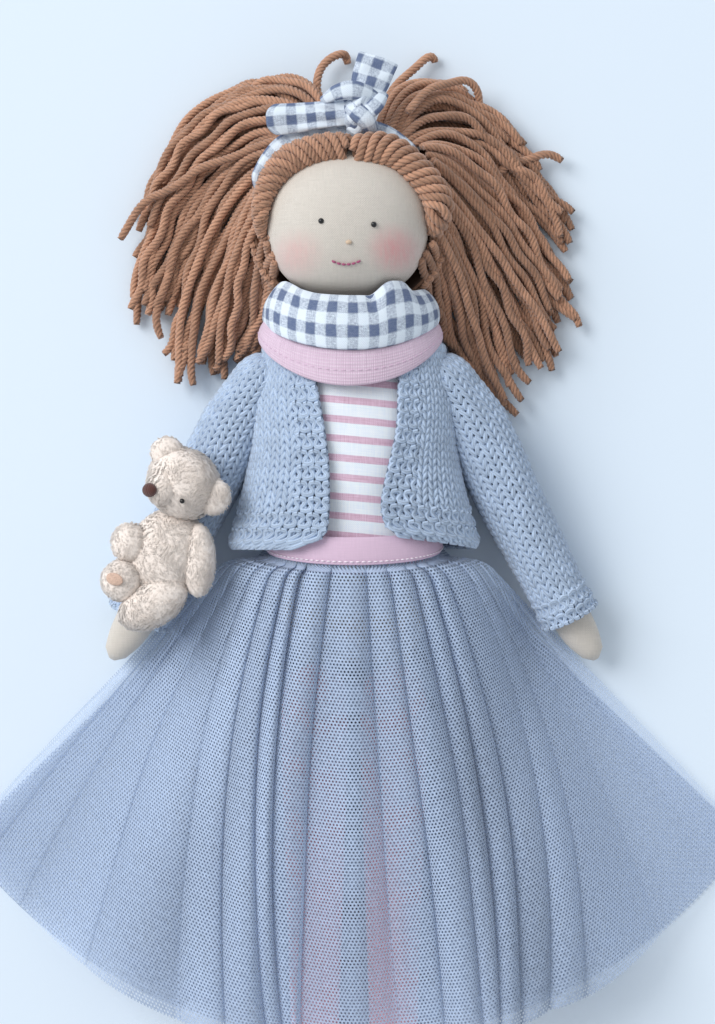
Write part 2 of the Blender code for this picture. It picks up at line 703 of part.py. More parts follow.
def lock_edge(side, index, share):
    """Plan point on the edge between two locks, from its root on the headband to its tip."""
    angle = math.radians(LOCK_ROOT_ANGLES_DEG[index])
    start = on_hair(angle, HAIR_CAP_THICKNESS + SEAT_GAP)
    tip = Vector(
        (
            HEAD_CENTRE.x - HEAD_SIDEWAYS + HAIR_SPREAD * LOCK_TIP_WIDTH_SHARES[index],
            HEAD_CENTRE.y + HAIR_SPREAD * LOCK_TIP_HEIGHT_SHARES[index],
        )
    )
    run = tip - start
    arch = LOCK_BULGE_SHARE * min(1.0, index / 3)
    bulge = Vector((-run.y, run.x)) * (arch * math.sin(math.pi * share))
    spot = start + run * share + bulge
    return Vector((HEAD_CENTRE.x + side * (spot.x - HEAD_CENTRE.x), spot.y))


def build_locks(parts, cutters, yarn):
    """Loose locks of yarn fanned out on each side of the head, thick at the root."""
    cap_cutter = head_form("cap_grown_cutter", cutters, grow=HAIR_CAP_THICKNESS + SEAT_GAP)
    for side, label in ((1, "left"), (-1, "right")):
        for k in range(len(LOCK_ROOT_ANGLES_DEG) - 1):
            rings = []
            for i in range(LOCK_RINGS):
                share = i / (LOCK_RINGS - 1)
                a, b = lock_edge(side, k, share), lock_edge(side, k + 1, share)
                narrow = 0.88 if i == LOCK_RINGS - 1 else 1.0
                half_width = ((a - b).length / 2 - SEAT_GAP / 2) * narrow
                half_depth = LOCK_ROOT_HALF_DEPTH + (LOCK_TIP_HALF_DEPTH - LOCK_ROOT_HALF_DEPTH) * share
                low = LOCK_TIP_HALF_DEPTH + SEAT_GAP
                height = LOCK_ROOT_HEIGHT + (low - LOCK_ROOT_HEIGHT) * share
                across = (a - b).normalized()
                middle = ((a.x + b.x) / 2, (a.y + b.y) / 2, height)
                rings.append((middle, half_width, half_depth, (across.x, across.y, 0)))
            lock = stuffed(f"{label}_hair_lock_{k + 1}", rings, parts, yarn, LOCK_SIDES)
            cut(lock, cap_cutter)


def build_knot(parts, gingham):
    """Knot of the headband over the parting, with one long and one short tail."""
    top = on_hair(math.pi / 2, KNOT_ABOVE_HEAD)
    centre = Vector((HEAD_CENTRE.x + KNOT_SIDEWAYS, top.y, HEAD_CENTRE.z + KNOT_RISE))
    ball("headband_knot", centre, (KNOT_HALF_SIZE,) * 3, parts, gingham, sides=12, rings=8)
    for name, length, half_width, heading, shares in (
        ("headband_long_tail", LONG_TAIL_LENGTH, LONG_TAIL_HALF_WIDTH, 178, (0.62, 0.8, 1.0, 1.0, 0.72)),
        ("headband_short_tail", SHORT_TAIL_LENGTH, SHORT_TAIL_HALF_WIDTH, 70, (0.45, 0.62, 0.8, 0.95, 1.0)),
    ):
        away = Vector((math.cos(math.radians(heading)), math.sin(math.radians(heading)), 0))
        rings = []
        for i, share in enumerate(shares):
            along = KNOT_HALF_SIZE + SEAT_GAP + length * i / (len(shares) - 1)
            rings.append((centre + away * along, half_width * share, TAIL_HALF_THICKNESS))
        stuffed(name, rings, parts, gingham, 10)


def build_top(parts, cutters, striped):
    """Sleeveless striped top: a tube of cloth round the torso, with armholes."""

    levels = torso_levels(-TOP_HEM_BELOW_WAIST, TOP_NECK_ABOVE_WAIST)
    rows = len(levels) - 1

    def point(u, v):
        return round_torso(levels[round(v * rows)], math.tau * u, CLOTH_GAP)

    top = grid_piece("striped_top", point, TORSO_SIDES, rows, TOP_THICKNESS, parts, striped, closed=True)
    cut(top, *[tab_hole("top", side, cutters) for side in (1, -1)])


def over_band():
    """Heights where the cardigan starts to stand off, and where it clears the waistband."""
    end = WAISTBAND_ABOVE_WAIST + WAISTBAND_SAG + WAISTBAND_HALF_HEIGHT + CARDIGAN_ABOVE_BAND
    return end + CARDIGAN_STEP_LENGTH, end


def cardigan_point(y, angle, away):
    """A point of the cardigan, close at the shoulders and flaring to the hem."""
    top, hem = CARDIGAN_FLARE_FROM, CARDIGAN_HEM_ABOVE_WAIST
    loose = max(0.0, min(1.0, (top - y) / (top - hem))) ** 1.3
    close = torso_width(y) + away
    width = close + (CARDIGAN_HEM_HALF_WIDTH - CARDIGAN_THICKNESS - close) * loose
    start, end = over_band()
    over = max(0.0, min(1.0, (start - y) / (start - end)))
    lifted = away + (BAND_FROM_TORSO + WAISTBAND_THICKNESS + SEAT_GAP - away) * over
    return round_torso(y, angle, lifted, width)


def build_cardigan(parts, cutters, knit):
    """Knitted back and two fronts, joined at the side seams and open down the middle."""
    hem, neck = CARDIGAN_HEM_ABOVE_WAIST, CARDIGAN_NECK_ABOVE_WAIST
    seam = SEAT_GAP / TORSO_HALF_DEPTH
    holes = []
    for side in (1, -1):
        hole = ball(
            f"cardigan_armhole_cutter_{side}",
            shoulder(side),
            (SLEEVE_RADIUS + LOOSE_GAP,) * 3,
            cutters,
            sides=24,
            rings=16,
        )
        sleeve = stuffed(
            f"cardigan_sleeve_cutter_{side}",
            sleeve_rings(side),
            cutters,
            sides=SLEEVE_SIDES,
            grow=LOOSE_GAP,
        )
        holes += [hole, sleeve, tab_hole("cardigan", side, cutters)]

    levels = torso_levels(hem, neck, *over_band())
    rows = len(levels) - 1

    def level(v):
        return levels[round(v * rows)]

    def opening_angle(y):
        share = (y - hem) / (neck - hem)
        gap = CARDIGAN_OPEN_HEM + (CARDIGAN_OPEN_TOP - CARDIGAN_OPEN_HEM) * share
        width = cardigan_point(y, 0.0, CARDIGAN_FROM_TORSO).x
        return math.acos(min(0.98, gap / width))

    def back(u, v):
        angle = math.pi + seam + (math.pi - 2 * seam) * u
        return cardigan_point(level(v), angle, CARDIGAN_FROM_TORSO)

    def left_front(u, v):
        y = level(v)
        return cardigan_point(y, seam + (opening_angle(y) - seam) * u, CARDIGAN_FROM_TORSO)

    def right_front(u, v):
        y = level(v)
        start = math.pi - opening_angle(y)
        return cardigan_point(y, start + (opening_angle(y) - seam) * u, CARDIGAN_FROM_TORSO)

    for name, point, columns in (
        ("cardigan_back", back, 16),
        ("cardigan_left_front", left_front, 8),
        ("cardigan_right_front", right_front, 8),
    ):
        piece = grid_piece(name, point, columns, rows, CARDIGAN_THICKNESS, parts, knit)
        cut(piece, *holes)


def loop_edge(edge, level_share, angle):
    """A point on one edge of a cowl loop, from (half width, front, back, front sag)."""
    half_width, front, back, sag = edge
    height = TORSO_LENGTH * level_share
    rise = math.sin(angle)
    return Vector(
        (
            half_width * math.cos(angle),
            height - sag * max(0.0, rise) ** 1.4,
            TORSO_MIDDLE + (front if rise > 0 else back) * rise,
        )
    )


def cloth_loop(name, lower, upper, half_thickness, facing, parts, material):
    """A loop of cloth: a torus whose section is stretched between its two edges.

    The edges are functions of the angle round the loop; the cloth's thickness lies along
    facing, less its part along the section, or away from the neck where facing is None.
    """
    bpy.ops.mesh.primitive_torus_add(
        major_segments=COWL_SEGMENTS,
        minor_segments=COWL_SECTION,
        major_radius=TORSO_HALF_WIDTH,
        minor_radius=half_thickness,
    )
    piece = bpy.context.object
    piece.name = piece.data.name = name
    bm = bmesh.new()
    bm.from_mesh(piece.data)
    for vertex in bm.verts:
        x, y, z = vertex.co
        angle = math.atan2(y, x)
        around = math.atan2(z, math.hypot(x, y) - TORSO_HALF_WIDTH)
        low, high = lower(angle), upper(angle)
        middle, long = (low + high) / 2, (high - low) / 2
        way = long.normalized()
        outward = facing or Vector((middle.x, 0, middle.z - TORSO_MIDDLE)).normalized()
        thick = (outward - way * outward.dot(way)).normalized()
        vertex.co = middle + long * math.sin(around) + thick * (half_thickness * math.cos(around))
    bm.normal_update()
    bmesh.ops.recalc_face_normals(bm, faces=bm.faces)
    bm.to_mesh(piece.data)
    bm.free()
    for owner in piece.users_collection:
        owner.objects.unlink(piece)
    parts.objects.link(piece)
    piece.data.materials.append(material)
    piece.data.shade_smooth()
    return piece


def build_cowl(parts, lining, gingham):
    """The plain lining loop, and the gingham loop folded down over it."""
    lining_edges = ((LINING_LOWER, LINING_LOWER_SHARE), (LINING_UPPER, LINING_UPPER_SHARE))
    gingham_edges = ((GINGHAM_LOWER, GINGHAM_LOWER_SHARE), (GINGHAM_UPPER, GINGHAM_UPPER_SHARE))
    for name, (lower, upper), material in (
        ("cowl_lining_loop", lining_edges, lining),
        ("cowl_gingham_loop", gingham_edges, gingham),
    ):
        cloth_loop(
            name,
            lambda angle, edge=lower: loop_edge(*edge, angle),
            lambda angle, edge=upper: loop_edge(*edge, angle),
            COWL_HALF_THICKNESS,
            None,
            parts,
            material,
        )


def waistband_height(angle):
    """Height of the waistband's middle above the waist, lower at the front."""
    return WAISTBAND_ABOVE_WAIST - WAISTBAND_SAG * math.sin(angle)


def build_waistband(parts, felt):
    """Pink band that covers the seam between the top and the skirt."""

    def point(u, v):
        angle = math.tau * u
        y = waistband_height(angle) + WAISTBAND_HALF_HEIGHT * (2 * v - 1)
        return round_torso(y, angle, BAND_FROM_TORSO)

    grid_piece("waistband", point, 2 * TORSO_SIDES, 2, WAISTBAND_THICKNESS, parts, felt, closed=True)


def skirt_side(across):
    """How high the skirt stands at a share across: 1 over the legs and 0 at the side edges."""
    flat = min(1.0, max(0.0, (abs(across) - SKIRT_LEVEL_SHARE) / SKIRT_SLOPE_SHARE))
    return math.cos(flat * math.pi / 2) ** SKIRT_BRIM_POWER


def skirt_fold(across, down):
    """Height of the skirt's folds at a share across and down, none at the side edges."""
    strength = SKIRT_FOLD_HALF_HEIGHT * down**0.7 * skirt_side(across)
    wave = math.cos(math.pi * SKIRT_FOLDS * across + 0.9 * math.sin(5 * across))
    return strength * wave


def skirt_point(across, down, away, under=False):
    """A point of the skirt's front; across is -1 to 1 and down 0 at the waist to 1 at the hem."""
    angle = math.pi / 2 * (1 - across)
    lower_edge = waistband_height(angle) - WAISTBAND_HALF_HEIGHT
    tuck = WAISTBAND_HALF_HEIGHT / 2
    if down <= 0:
        return round_torso(lower_edge + tuck, angle, away)
    below = SKIRT_BELOW_BAND + (UNDERSKIRT_BELOW if under else 0.0)
    start = round_torso(lower_edge - below, angle, away)
    spread = across * SKIRT_HALF_ANGLE
    hem = Vector((SKIRT_RADIUS * math.sin(spread), -SKIRT_RADIUS * math.cos(spread), 0))
    plan = start.lerp(hem, down)
    puff = 1 - math.exp(-max(0.0, down - SKIRT_ROW_SHARES[1]) / SKIRT_PUFF_SHARE)
    bow = SKIRT_SIDE_BOW * (1 - down) ** SKIRT_BOW_POWER * puff
    plan += Vector((across, 0, 0)) * (bow * abs(across) * (UNDERSKIRT_BOW_SHARE if under else 1.0))
    side = skirt_side(across)
    height = SKIRT_EDGE_HEIGHT + (SKIRT_FRONT_HEIGHT - SKIRT_EDGE_HEIGHT) * side
    settle = min(1.0, down * (1 + 3.2 * abs(across) ** 2))
    ease = settle * settle * (3 - 2 * settle)
    if under:
        height -= NET_THICKNESS + SKIRT_LAYER_GAP + SKIRT_LAYER_DROP * side
    lift = 0.0 if under else skirt_fold(across, down)
    return Vector((plan.x, plan.y, start.z + (height - start.z) * ease + lift))


def build_skirt(parts, net):
    """Gathered net skirt: outer front with its folds, a plain layer under it, and the back."""

    rows = len(SKIRT_ROW_SHARES) - 1

    def rows_down(v):
        """Share down the skirt of a row; the first one is tucked under the waistband."""
        return SKIRT_ROW_SHARES[round(v * rows)]

    def outer(u, v):
        down = rows_down(v)
        return skirt_point(2 * u - 1, down, OUTER_NET_FROM_TORSO)

    def under(u, v):
        down = rows_down(v)
        across = (2 * u - 1) * UNDERSKIRT_REACH_SHARE
        return skirt_point(across, min(down, UNDERSKIRT_REACH_SHARE), NET_FROM_TORSO, under=True)

    grid_piece("skirt_front_outer", outer, SKIRT_COLUMNS, rows, NET_THICKNESS, parts, net)
    grid_piece("skirt_front_under", under, UNDERSKIRT_COLUMNS, rows, NET_THICKNESS, parts, net)
    steps = 22
    outline = [(-TORSO_HALF_WIDTH, WAISTBAND_ABOVE_WAIST), (TORSO_HALF_WIDTH, WAISTBAND_ABOVE_WAIST)]
    for i in range(steps + 1):
        spread = (1 - 2 * i / steps) * SKIRT_HALF_ANGLE
        outline.append((SKIRT_RADIUS * math.sin(spread), -SKIRT_RADIUS * math.cos(spread)))
    bm = bmesh.new()
    bmesh.ops.create_circle(bm, cap_ends=True, segments=len(outline), radius=1)
    bm.verts.ensure_lookup_table()
    for vertex, spot in zip(bm.verts, outline):
        vertex.co = (spot[0], spot[1], 0)
    grown = bmesh.ops.extrude_face_region(bm, geom=list(bm.faces), use_keep_orig=True)
    raised = [piece for piece in grown["geom"] if isinstance(piece, bmesh.types.BMVert)]
    bmesh.ops.translate(bm, verts=raised, vec=(0, 0, NET_FLOOR_THICKNESS))
    made_from("skirt_back", bm, parts, net)


def build_bear(parts, cutters, plush, felt, black, sleeve_cutter):
    """Small plush bear lying on the right forearm, each piece cut by the larger ones."""
    along, start = arm_direction(-1), shoulder(-1)
    across = Vector((0, 0, 1)).cross(along).normalized()
    middle = start + along * BEAR_BODY_ALONG + across * BEAR_BODY_ACROSS
    lift = SLEEVE_RADIUS + BEAR_BODY_HALF_DEPTH * BEAR_SINK_SHARE
    body_at = Vector((middle.x, middle.y, middle.z + lift))
    body_half = Vector((BEAR_BODY_HALF_WIDTH, BEAR_BODY_HALF_LENGTH, BEAR_BODY_HALF_DEPTH))
    lean = Matrix.Rotation(math.radians(-27), 3, "Z")

    def form(name, centre, half, against, turn=None, material=plush, sides=14, rings=9):
        piece = ball(name, centre, half, parts, material, turn=turn, sides=sides, rings=rings)
        cut(piece, *against)
        grown = ball(name + "_grown_cutter", centre, half, cutters, grow=SEAT_GAP, turn=turn, sides=sides, rings=rings)
        return grown

    def from_body(right, up, out):
        return body_at + Vector((right * body_half.x, up * body_half.y, out * body_half.z))

    body = form("bear_body", body_at, body_half, (sleeve_cutter,), lean, sides=16, rings=10)
    radius = BEAR_HEAD_RADIUS
    head_at = from_body(0.62, 1.42, 0.42)
    head_half = (radius * 1.02, radius * 0.94, radius * 0.88)
    nod = Matrix.Rotation(math.radians(-45), 3, "Z")
    muzzle_at = head_at + Vector((-0.62, -0.20, 0.32)) * radius
    head = ball("bear_head", head_at, head_half, parts, plush, turn=nod, sides=18, rings=12)
    muzzle = ball("bear_muzzle_form", muzzle_at, (BEAR_MUZZLE_RADIUS,) * 3, cutters, sides=14, rings=9)
    joined(head, muzzle)
    cut(head, body, sleeve_cutter)
    head_grown = ball(
        "bear_head_grown_cutter", head_at, head_half, cutters, grow=SEAT_GAP, turn=nod, sides=18, rings=12
    )
    muzzle_grown = ball(
        "bear_muzzle_grown_cutter", muzzle_at, (BEAR_MUZZLE_RADIUS,) * 3, cutters, grow=SEAT_GAP, sides=14, rings=9
    )
    rounds = (body, head_grown, muzzle_grown, sleeve_cutter)
    ear_half = (BEAR_EAR_RADIUS, BEAR_EAR_RADIUS, BEAR_EAR_RADIUS * 0.62)
    form("bear_right_ear", head_at + Vector((-0.48, 0.86, 0.16)) * radius, ear_half, rounds, sides=12, rings=8)
    form("bear_left_ear", head_at + Vector((0.88, -0.36, 0.20)) * radius, ear_half, rounds, sides=12, rings=8)
    limb = BEAR_LIMB_RADIUS
    arms = [
        form("bear_left_arm", from_body(0.98, -0.12, 0.30), (limb, limb * 2.1, limb), rounds),
        form("bear_right_arm", from_body(-1.02, 0.30, 0.34), (limb, limb * 1.15, limb), rounds),
    ]
    legs_against = (*rounds, *arms)
    form(
        "bear_right_leg",
        from_body(-1.22, -0.48, 0.45),
        (limb * 1.15, limb * 1.15, limb * 1.10),
        legs_against,
    )
    form(
        "bear_left_leg",
        from_body(-0.30, -1.00, 0.42),
        (limb * 2.1, limb * 1.35, limb * 1.2),
        legs_against,
        Matrix.Rotation(math.radians(30), 3, "Z"),
    )
    nose_at = muzzle_at + Vector((-0.62, -0.05, 0.62)).normalized() * BEAR_MUZZLE_RADIUS
    form(
        "bear_nose",
        nose_at,
        (BEAR_NOSE_RADIUS * 0.8, BEAR_NOSE_RADIUS * 1.15, BEAR_NOSE_RADIUS * 0.8),
        (head_grown, muzzle_grown),
        material=felt,
        sides=10,
        rings=6,
    )
    for label, way in (("left", Vector((-0.02, -0.46, 0.80))), ("right", Vector((-0.72, 0.46, 0.50)))):
        spot = head_at + nod @ Vector([w * h for w, h in zip(nod.inverted() @ way.normalized(), head_half)])
        form(
            f"bear_{label}_eye",
            spot,
            (BEAR_EYE_RADIUS,) * 3,
            (head_grown, muzzle_grown),
            material=black,
            sides=8,
            rings=6,
        )


def centre_on_base(parts):
    """Moves every piece so that the origin is the middle of the doll's base, and prints the joints."""
    bpy.context.view_layer.update()
    graph = bpy.context.evaluated_depsgraph_get()
    corners = []
    for piece in parts.objects:
        shape = piece.evaluated_get(graph)
        corners += [shape.matrix_world @ Vector(c) for c in shape.bound_box]
    low = Vector([min(c[k] for c in corners) for k in range(3)])
    high = Vector([max(c[k] for c in corners) for k in range(3)])
    shift = Vector((-(low.x + high.x) / 2, -(low.y + high.y) / 2, -low.z))
    for piece in bpy.data.objects:
        piece.location += shift
    print("size", [round(v, 5) for v in high - low], "shift", [round(v, 6) for v in shift])
    for side, label in ((1, "left"), (-1, "right")):
        print(label, "shoulder", [round(v, 6) for v in shoulder(side) + shift])
        hip = Vector((side * LEG_FROM_MIDDLE, leg_top() - LEG_PIVOT_BELOW_TOP, HIP_HEIGHT))
        print(label, "leg", [round(v, 6) for v in hip + shift])
    flap = Vector((0, -TORSO_BELOW_WAIST - SEAT_GAP - HIP_FLAP_LENGTH / 2, HIP_HEIGHT))
    print("hip flap", [round(v, 6) for v in flap + shift])


def main():
    for old in list(bpy.data.objects):
        bpy.data.objects.remove(old)
    parts = bpy.data.collections.new("rag_doll")
    cutters = bpy.data.collections.new("cutters")
    for group in (parts, cutters):
        bpy.context.scene.collection.children.link(group)
    skin = cloth("skin_cloth", (0.72, 0.60, 0.50))
    stocking = cloth("stocking_cloth", (0.78, 0.48, 0.54))
    yarn = cloth("hair_yarn", (0.45, 0.22, 0.12))
    gingham = cloth("gingham", (0.45, 0.50, 0.60))
    lining = cloth("pink_linen", (0.70, 0.42, 0.46))
    striped = cloth("striped_cotton", (0.82, 0.76, 0.78))
    knit = cloth("cardigan_knit", (0.36, 0.43, 0.52))
    felt = cloth("waistband_cotton", (0.75, 0.45, 0.50))
    net = cloth("skirt_net", (0.36, 0.42, 0.54))
    plush = cloth("bear_plush", (0.66, 0.52, 0.42))
    bear_nose = cloth("bear_nose_thread", (0.16, 0.05, 0.04))
    black = cloth("black_bead", (0.02, 0.02, 0.02), 0.3)
    mouth = cloth("mouth_thread", (0.70, 0.16, 0.28))

    build_torso(parts, cutters, skin)
    neck_top = TORSO_TOP
    neck_rings = []
    for y in torso_levels(neck_top * 0.72, neck_top):
        neck_rings.append(((0, y, torso_middle(y)), torso_width(y), torso_depth(y), (-1, 0, 0)))
    neck = stuffed("neck_grown_cutter", neck_rings, cutters, sides=TORSO_SIDES, grow=SEAT_GAP)
    head, skin_cutter = build_head(parts, cutters, skin, black, mouth, neck)
    build_rolls(parts, yarn, skin_cutter)
    build_cap(parts, cutters, yarn, gingham, skin_cutter, neck)
    build_locks(parts, cutters, yarn)
    build_knot(parts, gingham)
    build_hip_flap(parts, skin)
    sleeve_cutters = {}
    for side, label in ((1, "left"), (-1, "right")):
        sleeve_cutters[label] = build_arm(side, label, parts, cutters, skin, knit)
        build_leg(side, label, parts, stocking)
    build_top(parts, cutters, striped)
    build_cardigan(parts, cutters, knit)
    build_cowl(parts, lining, gingham)
    build_waistband(parts, felt)
    build_skirt(parts, net)
    build_bear(parts, cutters, plush, bear_nose, black, sleeve_cutters["right"])
    centre_on_base(parts)


main()
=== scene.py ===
"""Looks of a rag doll lying on its back: linen skin, yarn hair, knitted cardigan, striped top,
two-cloth cowl, gathered net skirt and a small plush bear.

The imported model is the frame, in metres, with the doll's head towards +Y and its front
towards +Z. Every new piece is a surface worked out with numpy from the frame's own places.
"""

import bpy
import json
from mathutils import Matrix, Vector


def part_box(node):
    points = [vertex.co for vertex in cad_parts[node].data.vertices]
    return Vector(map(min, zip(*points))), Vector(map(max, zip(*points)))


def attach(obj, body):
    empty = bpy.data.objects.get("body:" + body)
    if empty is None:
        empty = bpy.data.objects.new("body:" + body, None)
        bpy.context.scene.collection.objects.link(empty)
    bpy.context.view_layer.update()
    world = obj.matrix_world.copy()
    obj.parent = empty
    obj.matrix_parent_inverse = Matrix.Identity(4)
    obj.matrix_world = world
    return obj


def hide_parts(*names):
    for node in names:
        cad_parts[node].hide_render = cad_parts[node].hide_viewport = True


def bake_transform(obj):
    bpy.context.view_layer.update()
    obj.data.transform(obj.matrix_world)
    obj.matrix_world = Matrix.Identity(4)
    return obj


bl_info = {
    "name": "Rag Doll",
    "version": (1, 0, 0),
    "blender": (4, 5, 0),
    "location": "View3D > Sidebar > Rag Doll",
    "description": "Builds the cloth, yarn and plush of a rag doll around its packed model",
    "category": "Object",
}

import json
import math

import bpy
import numpy as np
from bpy.props import FloatProperty, FloatVectorProperty, IntProperty, PointerProperty
from mathutils import Matrix, Vector

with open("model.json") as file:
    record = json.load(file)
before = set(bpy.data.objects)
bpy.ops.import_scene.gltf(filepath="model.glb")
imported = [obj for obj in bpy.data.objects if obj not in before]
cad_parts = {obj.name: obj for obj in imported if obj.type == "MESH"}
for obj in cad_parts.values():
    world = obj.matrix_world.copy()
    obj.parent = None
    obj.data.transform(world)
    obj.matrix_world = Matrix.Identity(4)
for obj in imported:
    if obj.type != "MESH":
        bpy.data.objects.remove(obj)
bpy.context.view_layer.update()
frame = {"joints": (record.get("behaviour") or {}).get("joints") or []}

SEED = 7
JOINTS = {joint["name"]: np.array(joint["pos_m"], float) for joint in frame["joints"]}
SHOULDERS = {1: JOINTS["left_arm_lift"], -1: JOINTS["right_arm_lift"]}
SIDES = ((1, "left"), (-1, "right"))
UP = np.array((0.0, 0.0, 1.0))

# Torso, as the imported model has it; heights are measured from the waist
SHOULDER_ABOVE_WAIST = 0.068
WAIST_Y = float(SHOULDERS[1][1]) - SHOULDER_ABOVE_WAIST
TORSO_LENGTH = 0.150
TORSO_BELOW_WAIST = 0.038
TORSO_HALF_WIDTH = 0.031
TORSO_HALF_DEPTH = 0.0205
TORSO_STATION_SHARES = (0, 0.04, 0.10, 0.19, 0.28, 0.37, 0.46, 0.56, 0.65, 0.71, 0.76, 0.80, 0.84, 0.90, 1)
TORSO_WIDTH_SHARES = (0.80, 0.91, 0.99, 1.0, 0.98, 0.96, 0.96, 0.97, 0.96, 0.91, 0.80, 0.66, 0.46, 0.35, 0.31)
TORSO_DEPTH_SHARES = (
    0.12, 0.38, 0.66, 0.82, 0.85, 0.86, 0.93, 0.99, 0.98, 0.91, 0.82, 0.73, 0.61, 0.52, 0.47,
)
TORSO_MIDDLE = 0.0271
HIP_HEIGHT = 0.0138

# Head, with its half sizes, and the arms
HEAD_CENTRE = np.array((-0.002, WAIST_Y + 0.1315, 0.0341))
HEAD_HALF = np.array((0.032, 0.0295, 0.024))
HEAD_CHIN_SHARE = 0.07
HEAD_JOWL_POWER = 2.45
HEAD_LEAN = 0.0012
ARM_SPLAY = math.radians(27.3)
ARM_SLOPE = math.radians(6.2)
ARM_LENGTH = 0.126
SLEEVE_LENGTH = 0.1050

# Offsets of the clothes from the torso
TOP_AWAY = 0.0007
CARDIGAN_AWAY = 0.0024
BAND_AWAY = 0.0043
NET_AWAY = 0.0019
NET_LAYER_GAP = 0.0009

# The photograph's view, from straight above
PHOTO_SIZE = (715, 1024)
CAMERA_PLACE = (0.0014, 0.0379, 1.030)
PIXEL_AT_ONE_METRE = 0.0004
SENSOR_MM = 36.0


def photo_length(pixels, height):
    """The real length of this many of the photograph's pixels, at this height above the floor."""
    return np.asarray(pixels, float) * PIXEL_AT_ONE_METRE * (CAMERA_PLACE[2] - height)


def photo_point(px, py, height):
    """The place at this height above the floor that the photograph shows at a pixel."""
    reach = PIXEL_AT_ONE_METRE * (CAMERA_PLACE[2] - height)
    x = CAMERA_PLACE[0] + (px - PHOTO_SIZE[0] / 2) * reach
    y = CAMERA_PLACE[1] - (py - PHOTO_SIZE[1] / 2) * reach
    return stacked(x, y, height).astype(float)


def length_setting(name, description, default, low, high):
    """A length that a user may change, in metres, and its limits."""
    return FloatProperty(name=name, description=description, default=default, min=low, max=high,
                         unit="LENGTH", subtype="DISTANCE")


def colour_setting(name, description, default):
    """A colour that a user may change."""
    return FloatVectorProperty(name=name, description=description, default=default, size=3, min=0, max=1,
                               subtype="COLOR")


class HairSettings(bpy.types.PropertyGroup):
    """Yarn of the hair."""

    radius: length_setting("Yarn radius", "Half the width of one strand of hair yarn", 0.00178, 0.0005, 0.005)
    twist: length_setting("Twist length", "Length in which the plies turn once", 0.0082, 0.003, 0.03)
    strands: IntProperty(name="Strands a side", description="Loose strands on each side of the head",
                         default=92, min=10, max=200)
    colour: colour_setting("Colour", "Colour of the hair yarn", (0.530, 0.285, 0.180))


class BodySettings(bpy.types.PropertyGroup):
    """Cloth of the body."""

    skin: colour_setting("Skin", "Colour of the linen of head, arms and torso", (0.675, 0.620, 0.555))
    blush: colour_setting("Blush", "Colour rubbed into the cheeks", (0.800, 0.260, 0.290))
    legs: colour_setting("Legs", "Colour of the cloth of the legs", (0.800, 0.430, 0.480))


class ClothesSettings(bpy.types.PropertyGroup):
    """Clothes: check, stripes and knit."""

    check: length_setting("Check", "Side of one square of the gingham", 0.0039, 0.001, 0.02)
    check_dark: colour_setting("Check colour", "Dark colour of the gingham", (0.090, 0.130, 0.250))
    check_pale: colour_setting("Check ground", "Pale colour of the gingham", (0.800, 0.880, 0.970))
    pink: colour_setting("Pink", "Colour of the cowl's lining and the waistband", (0.775, 0.565, 0.710))
    stripe: length_setting("Stripe pitch", "Distance from stripe to stripe on the top", 0.0076, 0.002, 0.03)
    knit: colour_setting("Knit", "Colour of the cardigan's yarn", (0.500, 0.615, 0.790))
    stitch_width: length_setting("Stitch width", "Width of one knitted stitch", 0.0044, 0.001, 0.02)
    stitch_height: length_setting("Stitch height", "Height of one knitted row", 0.0031, 0.001, 0.02)


class SkirtSettings(bpy.types.PropertyGroup):
    """Net of the skirt."""

    colour: colour_setting("Net", "Colour of the net", (0.410, 0.505, 0.675))
    mesh: length_setting("Mesh pitch", "Distance between the holes of the net", 0.00150, 0.0004, 0.01)
    depth: length_setting("Pleat depth", "How far a pleat of the outer layer stands up", 0.0048, 0.0, 0.02)


class BearSettings(bpy.types.PropertyGroup):
    """Plush of the bear."""

    colour: colour_setting("Plush", "Colour of the bear's plush", (0.980, 0.870, 0.790))
    pile: length_setting("Pile", "Length of the plush pile", 0.0017, 0.0005, 0.01)
    blades: IntProperty(name="Pile count", description="Tufts of pile for each square centimetre",
                        default=135, min=20, max=800)


class StageSettings(bpy.types.PropertyGroup):
    """Floor and light."""

    floor: colour_setting("Floor", "Colour of the floor", (0.770, 0.865, 0.965))
    key: FloatProperty(name="Key light", description="Strength of the large lamp",
                       default=172.0, min=0, max=2000)
    fill: FloatProperty(name="Fill light", description="Strength of the light from all round",
                        default=0.61, min=0, max=10)


def unit(vectors):
    """Vectors made one long."""
    return vectors / np.maximum(np.linalg.norm(vectors, axis=-1, keepdims=True), 1e-12)


def smoothstep(low, high, values):
    """0 below low, 1 above high, and the cubic 3t^2 - 2t^3 between."""
    t = np.clip((values - low) / (high - low), 0, 1)
    return t * t * (3 - 2 * t)


def signed_power(values, power):
    """Values raised to a power, each with its sign kept."""
    return np.sign(values) * np.abs(values) ** power


def hump(values, at, half, power=2):
    """A smooth hump, 1 at its place: e to the minus power of the distance over the half width."""
    return np.exp(-(((values - at) / half) ** power))


def round_angles(count, start=0.0):
    """Angles evenly spaced once round."""
    return np.linspace(start, start + math.tau, count, endpoint=False)


def stacked(*parts):
    """Points from their parts, each spread to the shape of all."""
    return np.stack(np.broadcast_arrays(*parts), axis=-1)


def directions(polar, angle):
    """Vectors one long at angles from +Z and round it."""
    return stacked(np.sin(polar) * np.cos(angle), np.sin(polar) * np.sin(angle), np.cos(polar))


def ball_angles(margin, rows, columns):
    """Angles from +Z in a column, this far short of each pole, and angles round it in a row."""
    return np.linspace(margin, math.pi - margin, rows)[:, None], round_angles(columns)[None, :]


def turned(degrees):
    """Ways of a frame turned level by an angle, as rows."""
    a = math.radians(degrees)
    return np.array(((math.cos(a), math.sin(a), 0.0), (-math.sin(a), math.cos(a), 0.0), (0.0, 0.0, 1.0)))


